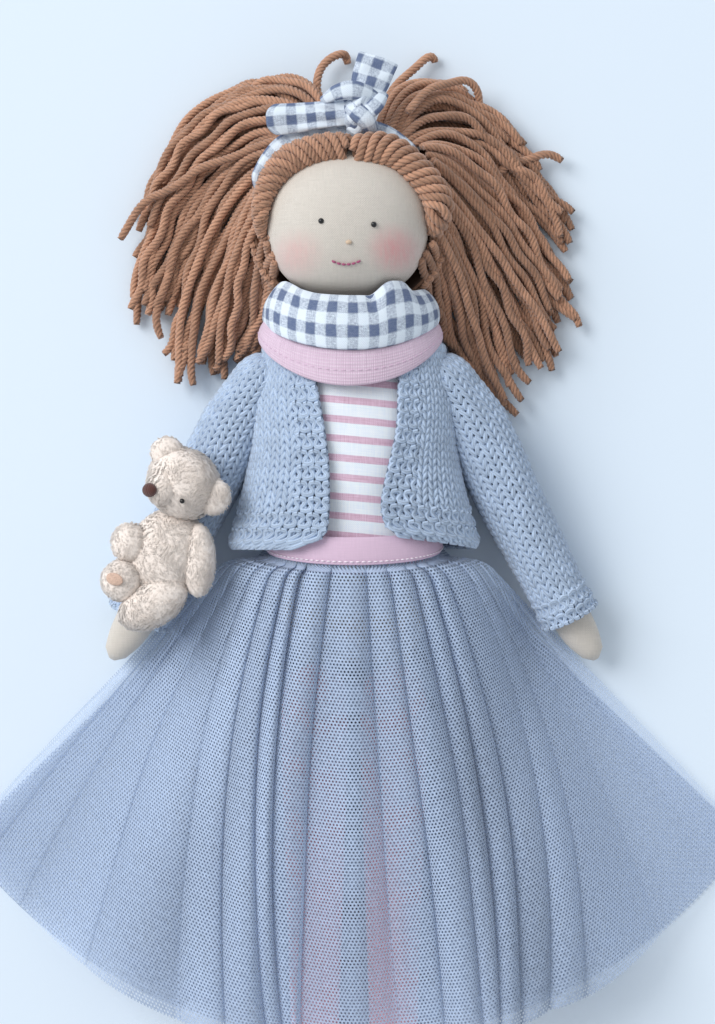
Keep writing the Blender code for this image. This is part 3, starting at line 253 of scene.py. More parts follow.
def curve_through(at, places, values):
    """Values, or points, on a smooth cubic curve through those listed at rising places."""
    at = np.asarray(at, float)
    x, y = np.asarray(places, float), np.asarray(values, float)
    i = np.clip(np.searchsorted(x, at) - 1, 0, len(x) - 2)
    last = len(x) - 1
    low, high = np.maximum(np.arange(len(x)) - 1, 0), np.minimum(np.arange(len(x)) + 1, last)
    span_shape = (-1,) + (1,) * (y.ndim - 1)
    slope = (y[high] - y[low]) / (x[high] - x[low]).reshape(span_shape)
    span = x[i + 1] - x[i]
    t = (at - x[i]) / span
    if y.ndim > 1:
        t, span = t[..., None], span[..., None]
    return (
        y[i] * (2 * t**3 - 3 * t**2 + 1)
        + y[i + 1] * (3 * t**2 - 2 * t**3)
        + slope[i] * span * (t**3 - 2 * t**2 + t)
        + slope[i + 1] * span * (t**3 - t**2)
    )


def ripple(u, v, waves, seed):
    """A smooth uneven field: a sum of sine waves across two coordinates, from about -1 to 1.

    Each wave is sin(a u + b v + c), with a and b within the number of waves and c from the seed.
    """
    chance = np.random.default_rng(seed)
    total = np.zeros(np.broadcast(u, v).shape)
    count = 6
    for k in range(count):
        a, b = chance.uniform(-1, 1, 2) * waves
        total = total + np.sin(math.tau * (a * u + b * v) + chance.uniform(0, math.tau))
    return total / count * 1.6


class Socket:
    """A shader socket; its sums and products, set just below, add Math nodes to its material."""

    def __init__(self, finish, output):
        self.finish = finish
        self.output = output

    def math(self, operation, *values):
        return self.finish.node("ShaderNodeMath", {"operation": operation}, values)

    def sine(self):
        return self.math("SINE", self)

    def fraction(self):
        return self.math("FRACT", self)

    def size(self):
        return self.math("ABSOLUTE", self)

    def root(self):
        return self.math("SQRT", self)

    def least(self, other):
        return self.math("MINIMUM", self, other)

    def step(self, low, high):
        """0 below low and 1 above high, with a smooth rise between."""
        settings = {"interpolation_type": "SMOOTHSTEP"}
        return self.finish.node("ShaderNodeMapRange", settings, (self, low, high, 0.0, 1.0))


for sign, operation in (("add", "ADD"), ("sub", "SUBTRACT"), ("mul", "MULTIPLY"), ("truediv", "DIVIDE")):
    setattr(Socket, f"__{sign}__", lambda self, other, kind=operation: self.math(kind, self, other))
    setattr(Socket, f"__r{sign}__", lambda self, other, kind=operation: self.math(kind, other, self))


class Finish:
    """A Principled material in the making, with its nodes written as expressions."""

    def __init__(self, name, roughness=0.9, sheen=0.0, **constants):
        self.material = bpy.data.materials.new(name)
        self.material.use_nodes = True
        self.tree = self.material.node_tree
        self.shader = self.tree.nodes["Principled BSDF"]
        self.shader.inputs["Roughness"].default_value = roughness
        self.shader.inputs["Sheen Weight"].default_value = sheen
        self.shader.inputs["Sheen Roughness"].default_value = 0.55
        self.shader.inputs["Specular IOR Level"].default_value = constants.get("specular", 0.25)

    def node(self, kind, settings=None, values=(), output=0):
        """Adds a node: its settings first, then a value or a link for each socket listed."""
        made = self.tree.nodes.new(kind)
        for key, value in (settings or {}).items():
            setattr(made, key, value)
        for key, value in values.items() if isinstance(values, dict) else enumerate(values):
            if isinstance(value, Socket):
                self.tree.links.new(value.output, made.inputs[key])
            elif value is not None:
                made.inputs[key].default_value = value
        return Socket(self, made.outputs[output])

    def place(self):
        """The surface's own coordinates, in metres, from its UV map: across, along."""
        return self.split(self.node("ShaderNodeUVMap"))[:2]

    def split(self, vector):
        """The three parts of a vector."""
        first = self.node("ShaderNodeSeparateXYZ", None, (vector,))
        return [Socket(self, out) for out in first.output.node.outputs]

    def point(self):
        """Object coordinates, in metres."""
        return self.node("ShaderNodeTexCoord", None, (), "Object")

    def attribute(self, name):
        """A number kept on the mesh's points."""
        return self.node("ShaderNodeAttribute", {"attribute_name": name}, (), "Fac")

    def vector(self, x, y, z=0.0):
        return self.node("ShaderNodeCombineXYZ", None, (x, y, z))

    def noise(self, where, scale, detail=3.0, roughness=0.6):
        """Uneven value from 0 to 1 that changes over 1 / scale metres."""
        values = {"Vector": where, "Scale": scale, "Detail": detail, "Roughness": roughness}
        return self.node("ShaderNodeTexNoise", None, values)

    def mix(self, factor, first, second):
        """The first colour, passing into the second as the factor goes from 0 to 1."""
        first, second = ((*c, 1.0) if isinstance(c, tuple) else c for c in (first, second))
        values = {0: factor, 6: first, 7: second}
        return self.node("ShaderNodeMix", {"data_type": "RGBA"}, values, 2)

    def set(self, **links):
        """Feeds Base_Color, Roughness or Alpha, and height with its depth as a bump."""
        depth = links.pop("depth", 0.0003)
        if "height" in links:
            values = {"Strength": 1.0, "Distance": depth, "Height": links.pop("height")}
            links["Normal"] = self.node("ShaderNodeBump", None, values)
        for name, value in links.items():
            socket = self.shader.inputs[name.replace("_", " ")]
            if isinstance(value, Socket):
                self.tree.links.new(value.output, socket)
            else:
                socket.default_value = (*value, 1.0) if len(value) == 3 else value
        return self.material


def colour_of(values):
    """A property's colour as a plain tuple."""
    return tuple(float(v) for v in values)


def darker(colour, share):
    return tuple(c * share for c in colour)


def plain_weave(u, v, pitch):
    """Height of a plain weave: the product of two sines, one for each way of the threads."""
    return (u * (math.tau / pitch)).sine() * (v * (math.tau / pitch)).sine()


def threads(finish, u, v, pitch, length):
    """Slubs: noise drawn out along each way of the threads, from 0 to 1."""
    one = finish.noise(finish.vector(u / pitch, v / length), 1.0, 2.0)
    two = finish.noise(finish.vector(u / length, v / pitch), 1.0, 2.0)
    return (one + two) * 0.5


def skin_finish(name, with_blush=False):
    """Fine linen in skin colour, with blush on the cheeks of the head."""
    settings = bpy.context.scene.doll_body
    finish = Finish(name, 0.88, 0.12)
    x, y, z = finish.split(finish.point())
    slub = threads(finish, x, y, 0.00045, 0.006)
    weave = plain_weave(x, y, 0.0009)
    skin = colour_of(settings.skin)
    colour = finish.mix((slub - 0.5) * 1.6 + 0.5 + weave * 0.05, darker(skin, 0.86), darker(skin, 1.12))
    if with_blush:
        patches = None
        for (px, py), size, strength in CHEEKS:
            spot = photo_point(px, py, HEAD_CENTRE[2] + HEAD_HALF[2] * 0.7)
            away_x, away_y = (x - float(spot[0])) / size[0], (y - float(spot[1])) / size[1]
            fade = 1 - (away_x * away_x + away_y * away_y).root()
            patch = fade.step(0.0, 0.95) * strength
            patches = patch if patches is None else patches + patch
        streaks = finish.noise(finish.vector(x / 0.0012, y / 0.0045), 1.0, 3.0)
        rubbed = patches * (slub * 1.0 + streaks * 1.4 - 0.2)
        colour = finish.mix(rubbed.least(1.0), colour, colour_of(settings.blush))
    return finish.set(Base_Color=colour, height=weave * 0.5 + slub, depth=0.00012)


def cotton_finish(name, colour, pitch=0.0007, contrast=0.14, depth=0.00010):
    """Plain woven cotton on the piece's own coordinates."""
    finish = Finish(name, 0.9, 0.15)
    u, v = finish.place()
    slub = threads(finish, u, v, pitch * 0.6, 0.009)
    weave = plain_weave(u, v, pitch)
    tone = (slub - 0.5) * 2.0 + 0.5 + weave * 0.10
    base = finish.mix(tone, darker(colour, 1 - contrast), darker(colour, 1 + contrast))
    return finish.set(Base_Color=base, height=weave * 0.6 + slub, depth=depth)


def linen_finish(name, colour):
    """Loosely woven linen: pale and dark threads in both ways, with slubs."""
    finish = Finish(name, 0.92, 0.15)
    u, v = finish.place()
    slub = threads(finish, u, v, 0.00055, 0.010)
    grid_u = (u * (math.tau / 0.00082)).sine().step(-0.6, 1.0)
    grid_v = (v * (math.tau / 0.00082)).sine().step(-0.6, 1.0)
    pale = tuple(c + (0.96 - c) * 0.50 for c in colour)
    base = finish.mix(grid_u * 0.34 + grid_v * 0.34, colour, pale)
    tone = (slub - 0.5) * 3.2 + 0.5
    base = finish.mix(tone.least(1.0) * 0.55, base, darker(colour, 0.72))
    return finish.set(Base_Color=base, height=grid_u + grid_v + slub, depth=0.00010)


def gingham_finish(name):
    """Woven check: dark where both ways are dark, half way where one is, with thread speckle."""
    settings = bpy.context.scene.doll_clothes
    finish = Finish(name, 0.9, 0.12)
    u, v = finish.place()
    turn = settings.check * 2
    edge = 0.05
    wander = finish.noise(finish.vector(u, v), 160.0, 2.0) * 0.14 - 0.07
    band_u = ((u / turn + wander).fraction() - 0.5).size().step(0.25 - edge, 0.25 + edge)
    band_v = ((v / turn + wander).fraction() - 0.5).size().step(0.25 - edge, 0.25 + edge)
    fine = finish.noise(finish.vector(u / 0.00042, v / 0.0016), 1.0, 2.0)
    cross = finish.noise(finish.vector(u / 0.0016, v / 0.00042), 1.0, 2.0)
    speckle = (fine - cross) * 0.8
    both = band_u * band_v
    one = band_u + band_v - both * 2.0
    dark = both * 0.93 + one * (0.37 + speckle)
    dark = dark + (fine - 0.5) * 0.22
    base = finish.mix(dark.least(1.0), colour_of(settings.check_pale), colour_of(settings.check_dark))
    weave = plain_weave(u, v, 0.0008)
    return finish.set(Base_Color=base, height=weave * 0.5 + fine + cross, depth=0.00012)


def striped_finish(name):
    """White cotton with pink stripes along its second coordinate."""
    settings = bpy.context.scene.doll_clothes
    finish = Finish(name, 0.9, 0.1)
    u, v = finish.place()
    wander = finish.noise(finish.vector(u, v), 90.0, 3.0) * 0.04 - 0.02
    edge = 0.5 - STRIPE_SHARE / 2
    band = ((v / settings.stripe + wander).fraction() - 0.5).size().step(edge - 0.02, edge + 0.02)
    slub = threads(finish, u, v, 0.0005, 0.008)
    white = finish.mix((slub - 0.5) * 2.4 + 0.5, (0.80, 0.87, 0.97), (0.95, 0.98, 1.0))
    stripe = finish.mix((slub - 0.5) * 3.0 + 0.5, (0.60, 0.355, 0.465), (0.84, 0.63, 0.76))
    base = finish.mix(band, white, stripe)
    weave = plain_weave(u, v, 0.0008)
    return finish.set(Base_Color=base, height=weave * 0.5 + slub, depth=0.00010)


def yarn_finish(name, colour, ply_shares=4.0, fibre=0.00022, contrast=0.30, valley_shade=0.42):
    """Twisted yarn: painted shade in the valleys between plies, with fine fibres along each ply.

    The first coordinate counts plies round the yarn, the second is length in metres.
    """
    finish = Finish(name, 0.86, 0.35)
    u, v = finish.place()
    shade = finish.attribute("strand")
    ply = ((u * ply_shares).fraction() - 0.5).size()
    groove = ply.step(0.26, 0.50)
    fibres = finish.noise(finish.vector(u * 26.0, v / fibre / 6.0, shade * 40.0), 1.0, 3.0, 0.65)
    patches = finish.noise(finish.vector(u * 1.0, v / 0.006, shade * 90.0), 1.0, 2.0)
    tone = (fibres - 0.5) * 1.5 + (patches - 0.5) * 0.8 + 0.5 + (shade - 0.5) * 0.5
    lit = finish.mix(tone, darker(colour, 1 - contrast), darker(colour, 1 + contrast))
    # Painted shade: the grooves between plies are mixed towards a dark copy of the yarn's colour.
    base = finish.mix(groove * valley_shade, lit, darker(colour, 0.22))
    return finish.set(Base_Color=base, height=fibres - groove * 0.5, depth=0.00025)


def net_finish(name, colour, pitch, clear_low, clear_high):
    """Net: round holes on a lattice of equilateral triangles, see-through inside each hole.

    The distance to the nearest hole is the least of the distances in two offset grids. The
    mesh's fold number holds painted shade and painted light for the folds' hollows and edges,
    and a second number says where the cloth is sheer.
    """
    finish = Finish(name, 0.72, 0.25)
    u, v = finish.place()
    x, y = u / pitch, v / pitch
    tall = math.sqrt(3.0)

    def away(shift):
        across = (x + shift * 0.5).fraction() - 0.5
        along = ((y / tall + shift * 0.5).fraction() - 0.5) * tall
        return (across * across + along * along).root()

    thread = away(0.0).least(away(1.0)).step(clear_low, clear_high)
    wisps = finish.noise(finish.vector(u, v), 420.0, 3.0)
    # Painted shade and painted light: the fold number darkens and pales the net's colour.
    fold = finish.attribute("fold")
    tone = (wisps - 0.5) * 0.9 + fold
    base = finish.mix(tone, darker(colour, 0.66), darker(colour, 1.38))
    return finish.set(Base_Color=base, Alpha=thread * (1 - finish.attribute("sheer")))


def plush_finish(name, colour):
    """Plush pile: each tuft its own tone, paler towards its tip, with painted shade, darker and warmer, near
    the ground cloth.
    """
    finish = Finish(name, 0.95, 0.4)
    u, v = finish.place()
    shade = finish.attribute("strand")
    patch = finish.noise(finish.point(), 260.0, 3.0)
    tone = (shade - 0.5) * 0.7 + (patch - 0.5) * 1.4 + 0.5
    lit = finish.mix(tone, darker(colour, 0.86), darker(colour, 1.08))
    # Painted shade deep in the pile: the lower part of each tuft is mixed towards a dark tan.
    base = finish.mix((1 - v.step(-0.2, 0.75)) * 0.18, lit, (0.76, 0.56, 0.42))
    return finish.set(Base_Color=base)


def plain_finish(name, colour, roughness=0.9, sheen=0.1, spread=0.12, scale=900.0, depth=0.00012):
    """One colour with a little unevenness in tone and height, on object coordinates."""
    finish = Finish(name, roughness, sheen)
    patch = finish.noise(finish.point(), scale, 3.0)
    base = finish.mix((patch - 0.5) * 2.0 + 0.5, darker(colour, 1 - spread), darker(colour, 1 + spread))
    return finish.set(Base_Color=base, height=patch, depth=depth)


def put_mesh(name, points, quads, material, triangles=None, quad_uv=None, triangle_uv=None, strand=None):
    """Puts arrays of points and faces into a new object that sits at the origin."""
    mesh = bpy.data.meshes.new(name)
    quads = np.asarray(quads, np.int32).reshape(-1, 4)
    triangles = np.zeros((0, 3), np.int32) if triangles is None else np.asarray(triangles, np.int32)
    loops = np.concatenate([quads.ravel(), triangles.ravel()])
    starts = np.concatenate([np.arange(len(quads)) * 4, len(quads) * 4 + np.arange(len(triangles)) * 3])
    mesh.vertices.add(len(points))
    mesh.vertices.foreach_set("co", np.asarray(points, np.float32).ravel())
    mesh.loops.add(len(loops))
    mesh.loops.foreach_set("vertex_index", loops.astype(np.int32))
    mesh.polygons.add(len(starts))
    mesh.polygons.foreach_set("loop_start", starts.astype(np.int32))
    mesh.update(calc_edges=True)
    if quad_uv is not None:
        parts = [np.asarray(quad_uv, np.float32).reshape(-1, 2)]
        if len(triangles):
            parts.append(np.asarray(triangle_uv, np.float32).reshape(-1, 2))
        mesh.uv_layers.new(name="UVMap").data.foreach_set("uv", np.concatenate(parts).ravel())
    if strand is not None:
        mesh.attributes.new("strand", "FLOAT", "POINT").data.foreach_set("value", strand.astype(np.float32))
    mesh.shade_smooth()
    mesh.materials.append(material)
    piece = bpy.data.objects.new(name, mesh)
    bpy.context.scene.collection.objects.link(piece)
    return piece


def measured(points, wrap_rows=False, wrap_columns=False):
    """Coordinates in metres of a grid's points: mean length across and along, with the seams."""
    if wrap_rows:
        points = np.concatenate([points, points[..., :1, :, :]], axis=-3)
    if wrap_columns:
        points = np.concatenate([points, points[..., :, :1, :]], axis=-2)
    across = np.linalg.norm(np.diff(points, axis=-2), axis=-1).mean(axis=-2)
    along = np.linalg.norm(np.diff(points, axis=-3), axis=-1).mean(axis=-1)
    u = np.concatenate([np.zeros_like(across[..., :1]), np.cumsum(across, axis=-1)], axis=-1)
    v = np.concatenate([np.zeros_like(along[..., :1]), np.cumsum(along, axis=-1)], axis=-1)
    u, v = np.broadcast_arrays(u[..., None, :], v[..., :, None])
    return np.stack([u, v], axis=-1)


def surface(name, points, material, wrap=(False, False), closed_ends=False, uv=None, strand=None, flip=False):
    """A piece from one grid of points, or many alike: rows by columns, perhaps joined round.

    wrap says whether the last row meets the first and the last column the first. Closed ends
    are a fan from the middle of the first row and one from the middle of the last.
    """
    points = np.asarray(points, float)
    if points.ndim == 3:
        points = points[None]
    many, rows, columns, _ = points.shape
    if uv is None:
        uv = measured(points, *wrap)
    uv = np.broadcast_to(uv, (many, rows + wrap[0], columns + wrap[1], 2))
    r, c = np.meshgrid(np.arange(rows - 1 + wrap[0]), np.arange(columns - 1 + wrap[1]), indexing="ij")
    r, c = r.ravel(), c.ravel()
    corners = [(r, c), (r, c + 1), (r + 1, c + 1), (r + 1, c)]
    if flip:
        corners = corners[::-1]
    index = np.stack([(i % rows) * columns + (j % columns) for i, j in corners], axis=1)
    block = rows * columns
    quads = (index[None] + (np.arange(many) * block)[:, None, None]).reshape(-1, 4)
    quad_uv = np.stack([uv[:, i, j] for i, j in corners], axis=2)
    flat = points.reshape(-1, 3)
    triangles = triangle_uv = None
    if closed_ends:
        middles = np.stack([points[:, 0].mean(axis=1), points[:, -1].mean(axis=1)], axis=1)
        poles = many * block + np.arange(many * 2).reshape(many, 2)
        j = np.arange(columns - 1 + wrap[1])
        fans, fan_uv = [], []
        for end, row, turned in ((0, 0, flip), (1, rows - 1, not flip)):
            one, two = (j, (j + 1) % columns) if turned else ((j + 1) % columns, j)
            uv_one, uv_two = (j, j + 1) if turned else (j + 1, j)
            base = (np.arange(many) * block + row * columns)[:, None]
            pole = np.broadcast_to(poles[:, end, None], (many, len(j)))
            fans.append(np.stack([base + one, base + two, pole], axis=-1).reshape(-1, 3))
            centre = np.broadcast_to(uv[:, row].mean(axis=1)[:, None], (many, len(j), 2))
            rim = [uv[:, row, uv_one], uv[:, row, uv_two], centre]
            fan_uv.append(np.stack(rim, axis=2).reshape(-1, 3, 2))
        triangles, triangle_uv = np.concatenate(fans), np.concatenate(fan_uv)
        flat = np.concatenate([flat, middles.reshape(-1, 3)])
    if strand is not None:
        strand = np.concatenate([np.repeat(strand, block), np.repeat(strand, 2 if closed_ends else 0)])
    return put_mesh(name, flat, quads, material, triangles, quad_uv, triangle_uv, strand)


def joined(name, *pieces):
    """One object from several, which keep their materials."""
    with bpy.context.temp_override(active_object=pieces[0], selected_editable_objects=list(pieces)):
        bpy.ops.object.join()
    pieces[0].name = pieces[0].data.name = name
    return pieces[0]


def swept(paths, radius, profile, facing, turns=0.0):
    """Tubes along paths: at each point of a path a profile lies square to it.

    paths is (many, rings, 3), radius a number or (many, rings), profile the radii round the
    section as shares, facing a vector at each point that the first of them leans towards, and
    turns how far the section has turned at each ring, in radians.
    """
    paths = np.asarray(paths, float)
    ahead = np.gradient(paths, axis=1)
    ahead = unit(ahead)
    facing = np.broadcast_to(facing, paths.shape)
    side = unit(np.cross(ahead, facing))
    out = np.cross(side, ahead)
    angle = np.arange(len(profile)) * (math.tau / len(profile))
    angle = angle[None, None, :] + np.asarray(turns)[..., None] * np.ones((1, 1, 1))
    reach = np.broadcast_to(np.asarray(radius, float), paths.shape[:2])[..., None] * np.asarray(profile)
    around = out[..., None, :] * np.cos(angle)[..., None] + side[..., None, :] * np.sin(angle)[..., None]
    return paths[..., None, :] + around * reach[..., None]


def path_length(paths):
    """Length along each path at each of its points."""
    steps = np.linalg.norm(np.diff(paths, axis=1), axis=-1)
    return np.concatenate([np.zeros((len(paths), 1)), np.cumsum(steps, axis=1)], axis=1)


def even_steps(paths, count):
    """The same paths with this many points, evenly spaced along each."""
    paths = np.asarray(paths, float)
    many, given = paths.shape[:2]
    length = path_length(paths)
    goal = length[:, -1:] * np.linspace(0, 1, count)[None]
    row = np.arange(many)[:, None]
    low = np.clip((length[:, None, :] <= goal[:, :, None]).sum(axis=2) - 1, 0, given - 2)
    share = (goal - length[row, low]) / np.maximum(length[row, low + 1] - length[row, low], 1e-12)
    return paths[row, low] + (paths[row, low + 1] - paths[row, low]) * np.clip(share, 0, 1)[..., None]


PLIES = 4
PLY_PROFILE = np.tile((0.80, 1.0, 1.0), PLIES)
TIP_SHARES = (0.0, 0.04, 0.96, 1.0)
TIP_RADIUS_SHARES = (0.86, 1.0, 1.0, 0.82)


def yarn(name, paths, radius, twist, material, step=0.0011, facing=UP, seed=0):
    """Lengths of plied yarn: a lobed section that turns once in each twist length."""
    longest = path_length(np.asarray(paths, float))[:, -1].max()
    rings = max(4, int(longest / step))
    fixed = np.ndim(facing) == 1
    paths_even = even_steps(paths, rings)
    facing_even = facing if fixed else unit(even_steps_like(facing, rings))
    length = path_length(paths_even)
    share = np.linspace(0, 1, rings)
    wide = radius * np.interp(share, TIP_SHARES, TIP_RADIUS_SHARES)
    turns = length * (math.tau / twist)
    tubes = swept(paths_even, wide[None], PLY_PROFILE, facing_even, turns)
    many, sides = len(paths_even), len(PLY_PROFILE)
    around = np.arange(sides + 1) / sides
    uv = stacked(around[None, None, :], length[:, :, None])
    chance = np.random.default_rng(SEED + seed)
    return surface(name, tubes, material, (False, True), True, uv, chance.uniform(0, 1, many))


def even_steps_like(values, count):
    """Vectors kept at even shares of each path, read at this many places."""
    values = np.asarray(values, float)
    at = np.linspace(0, values.shape[1] - 1, count)
    low = np.minimum(at.astype(int), values.shape[1] - 2)
    return values[:, low] + (values[:, low + 1] - values[:, low]) * (at - low)[None, :, None]


def small_stitches(name, starts, ends, radius, material, facing=UP, sides=6):
    """Short stitches of thread: each a rounded tube that arches a little between two points."""
    starts, ends = np.asarray(starts, float), np.asarray(ends, float)
    share = np.linspace(0, 1, 5)
    paths = starts[:, None] + (ends - starts)[:, None] * share[None, :, None]
    facing = np.broadcast_to(facing, starts.shape)
    paths = paths + facing[:, None] * (radius * 0.8 * np.sin(math.pi * share))[None, :, None]
    wide = radius * np.array((0.45, 0.95, 1.0, 0.95, 0.45))
    tubes = swept(paths, wide[None], np.ones(sides), facing[:, None] * np.ones((1, 5, 1)))
    return surface(name, tubes, material, (False, True), True, strand=np.zeros(len(starts)))


def torso_share(y):
    """How far along the torso a height above the waist lies, from 0 at the hips."""
    return np.clip((y + TORSO_BELOW_WAIST) / TORSO_LENGTH, 0, 1)


def torso_width(y):
    return TORSO_HALF_WIDTH * np.interp(torso_share(y), TORSO_STATION_SHARES, TORSO_WIDTH_SHARES)


def torso_depth(y):
    return TORSO_HALF_DEPTH * np.interp(torso_share(y), TORSO_STATION_SHARES, TORSO_DEPTH_SHARES)


def torso_middle(y):
    drop = np.maximum(0.0, -y / TORSO_BELOW_WAIST) ** 2
    return TORSO_MIDDLE + (HIP_HEIGHT - TORSO_MIDDLE) * drop


def round_torso(y, angle, away, width=None):
    """Points round the torso, an ellipse at each height, this far off its skin."""
    half_width = torso_width(y) + away if width is None else width
    x = half_width * np.cos(angle)
    z = torso_middle(y) + (torso_depth(y) + away) * np.sin(angle)
    return stacked(x, y + WAIST_Y, z)


def arm_frame(side):
    """Shoulder, direction along the arm, the level way across it, and the way out of it."""
    flat = math.cos(ARM_SLOPE)
    along = np.array((side * math.sin(ARM_SPLAY) * flat, -math.cos(ARM_SPLAY) * flat, -math.sin(ARM_SLOPE)))
    across = unit(np.cross(UP, along))
    return SHOULDERS[side], along, across, np.cross(along, across)


def head_point(across, up, away=0.0):
    """Points on the front of the head, across and up from its centre, this far off its skin."""
    across, up = np.broadcast_arrays(np.asarray(across, float), np.asarray(up, float))
    taper = 1 + HEAD_CHIN_SHARE * up / HEAD_HALF[1]
    wide = across / (HEAD_HALF[0] * taper)
    high = up / HEAD_HALF[1]
    deep = HEAD_HALF[2] * np.sqrt(np.maximum(0.0, 1 - wide**2 - high**2))
    slope = stacked(across / (HEAD_HALF[0] * taper) ** 2, up / HEAD_HALF[1] ** 2, deep / HEAD_HALF[2] ** 2)
    slope = unit(slope)
    return HEAD_CENTRE + stacked(across, up, deep) + slope * away, slope


def keep(piece, body, slot, *nodes):
    """Says which body a piece rides on and which nodes it stands for; the slot is not used."""
    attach(piece, body)
    if nodes:
        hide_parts(*nodes)
    return piece


CHEEKS = (((296, 255), (0.0140, 0.0125), 0.27), ((395, 250), (0.0140, 0.0122), 0.51))
ARM_STATION_SHARES = (0.0, 0.24, 0.48, 0.71, 0.84, 0.91, 0.96, 0.985, 1.0)
ARM_HALF_WIDTHS = (0.0085, 0.0088, 0.0082, 0.0072, 0.0080, 0.0072, 0.0054, 0.0040, 0.0014)
ARM_HALF_DEPTHS = (0.0085, 0.0088, 0.0082, 0.0070, 0.0066, 0.0058, 0.0046, 0.0034, 0.0012)
HAND_OUTWARD = 0.0014
LEG_STATION_SHARES = (0.0, 0.01, 0.03, 0.07, 0.16, 0.42, 0.72, 0.88, 0.94)
LEG_WIDTH_SHARES = (0.12, 0.50, 0.80, 0.97, 1.0, 0.88, 0.74, 0.70, 0.70)
LEG_DEPTH_SHARES = (0.10, 0.24, 0.36, 0.58, 0.92, 0.90, 0.74, 0.72, 0.72)
LEG_LENGTH = 0.198
LEG_HALF = (0.0135, 0.0125)
LEG_FROM_MIDDLE = 0.016
LEG_TOP = WAIST_Y - 0.0441
FOOT_LENGTH = 0.0215
FOOT_HALF_WIDTH = 0.0095


def stuffed(name, centres, half_widths, half_depths, side, material, columns=36, power=2.0):
    """A stuffed limb: an oval section carried along its middle line, closed at both ends.

    Each point lies half width times cos and half depth times sin of its angle off the
    middle line, along the level side and square to it; a power over 2 squares the oval.
    """
    ahead = unit(np.gradient(centres, axis=0))
    side = np.broadcast_to(side, ahead.shape)
    side = unit(side - ahead * (ahead * side).sum(axis=1, keepdims=True))
    depth = np.cross(ahead, side)
    angle = round_angles(columns)
    cos, sin = np.cos(angle), np.sin(angle)
    cos = signed_power(cos, 2 / power)
    sin = signed_power(sin, 2 / power)
    points = (
        centres[:, None]
        + side[:, None] * (half_widths[:, None] * cos)[..., None]
        + depth[:, None] * (half_depths[:, None] * sin)[..., None]
    )
    return surface(name, points, material, (False, True), True)


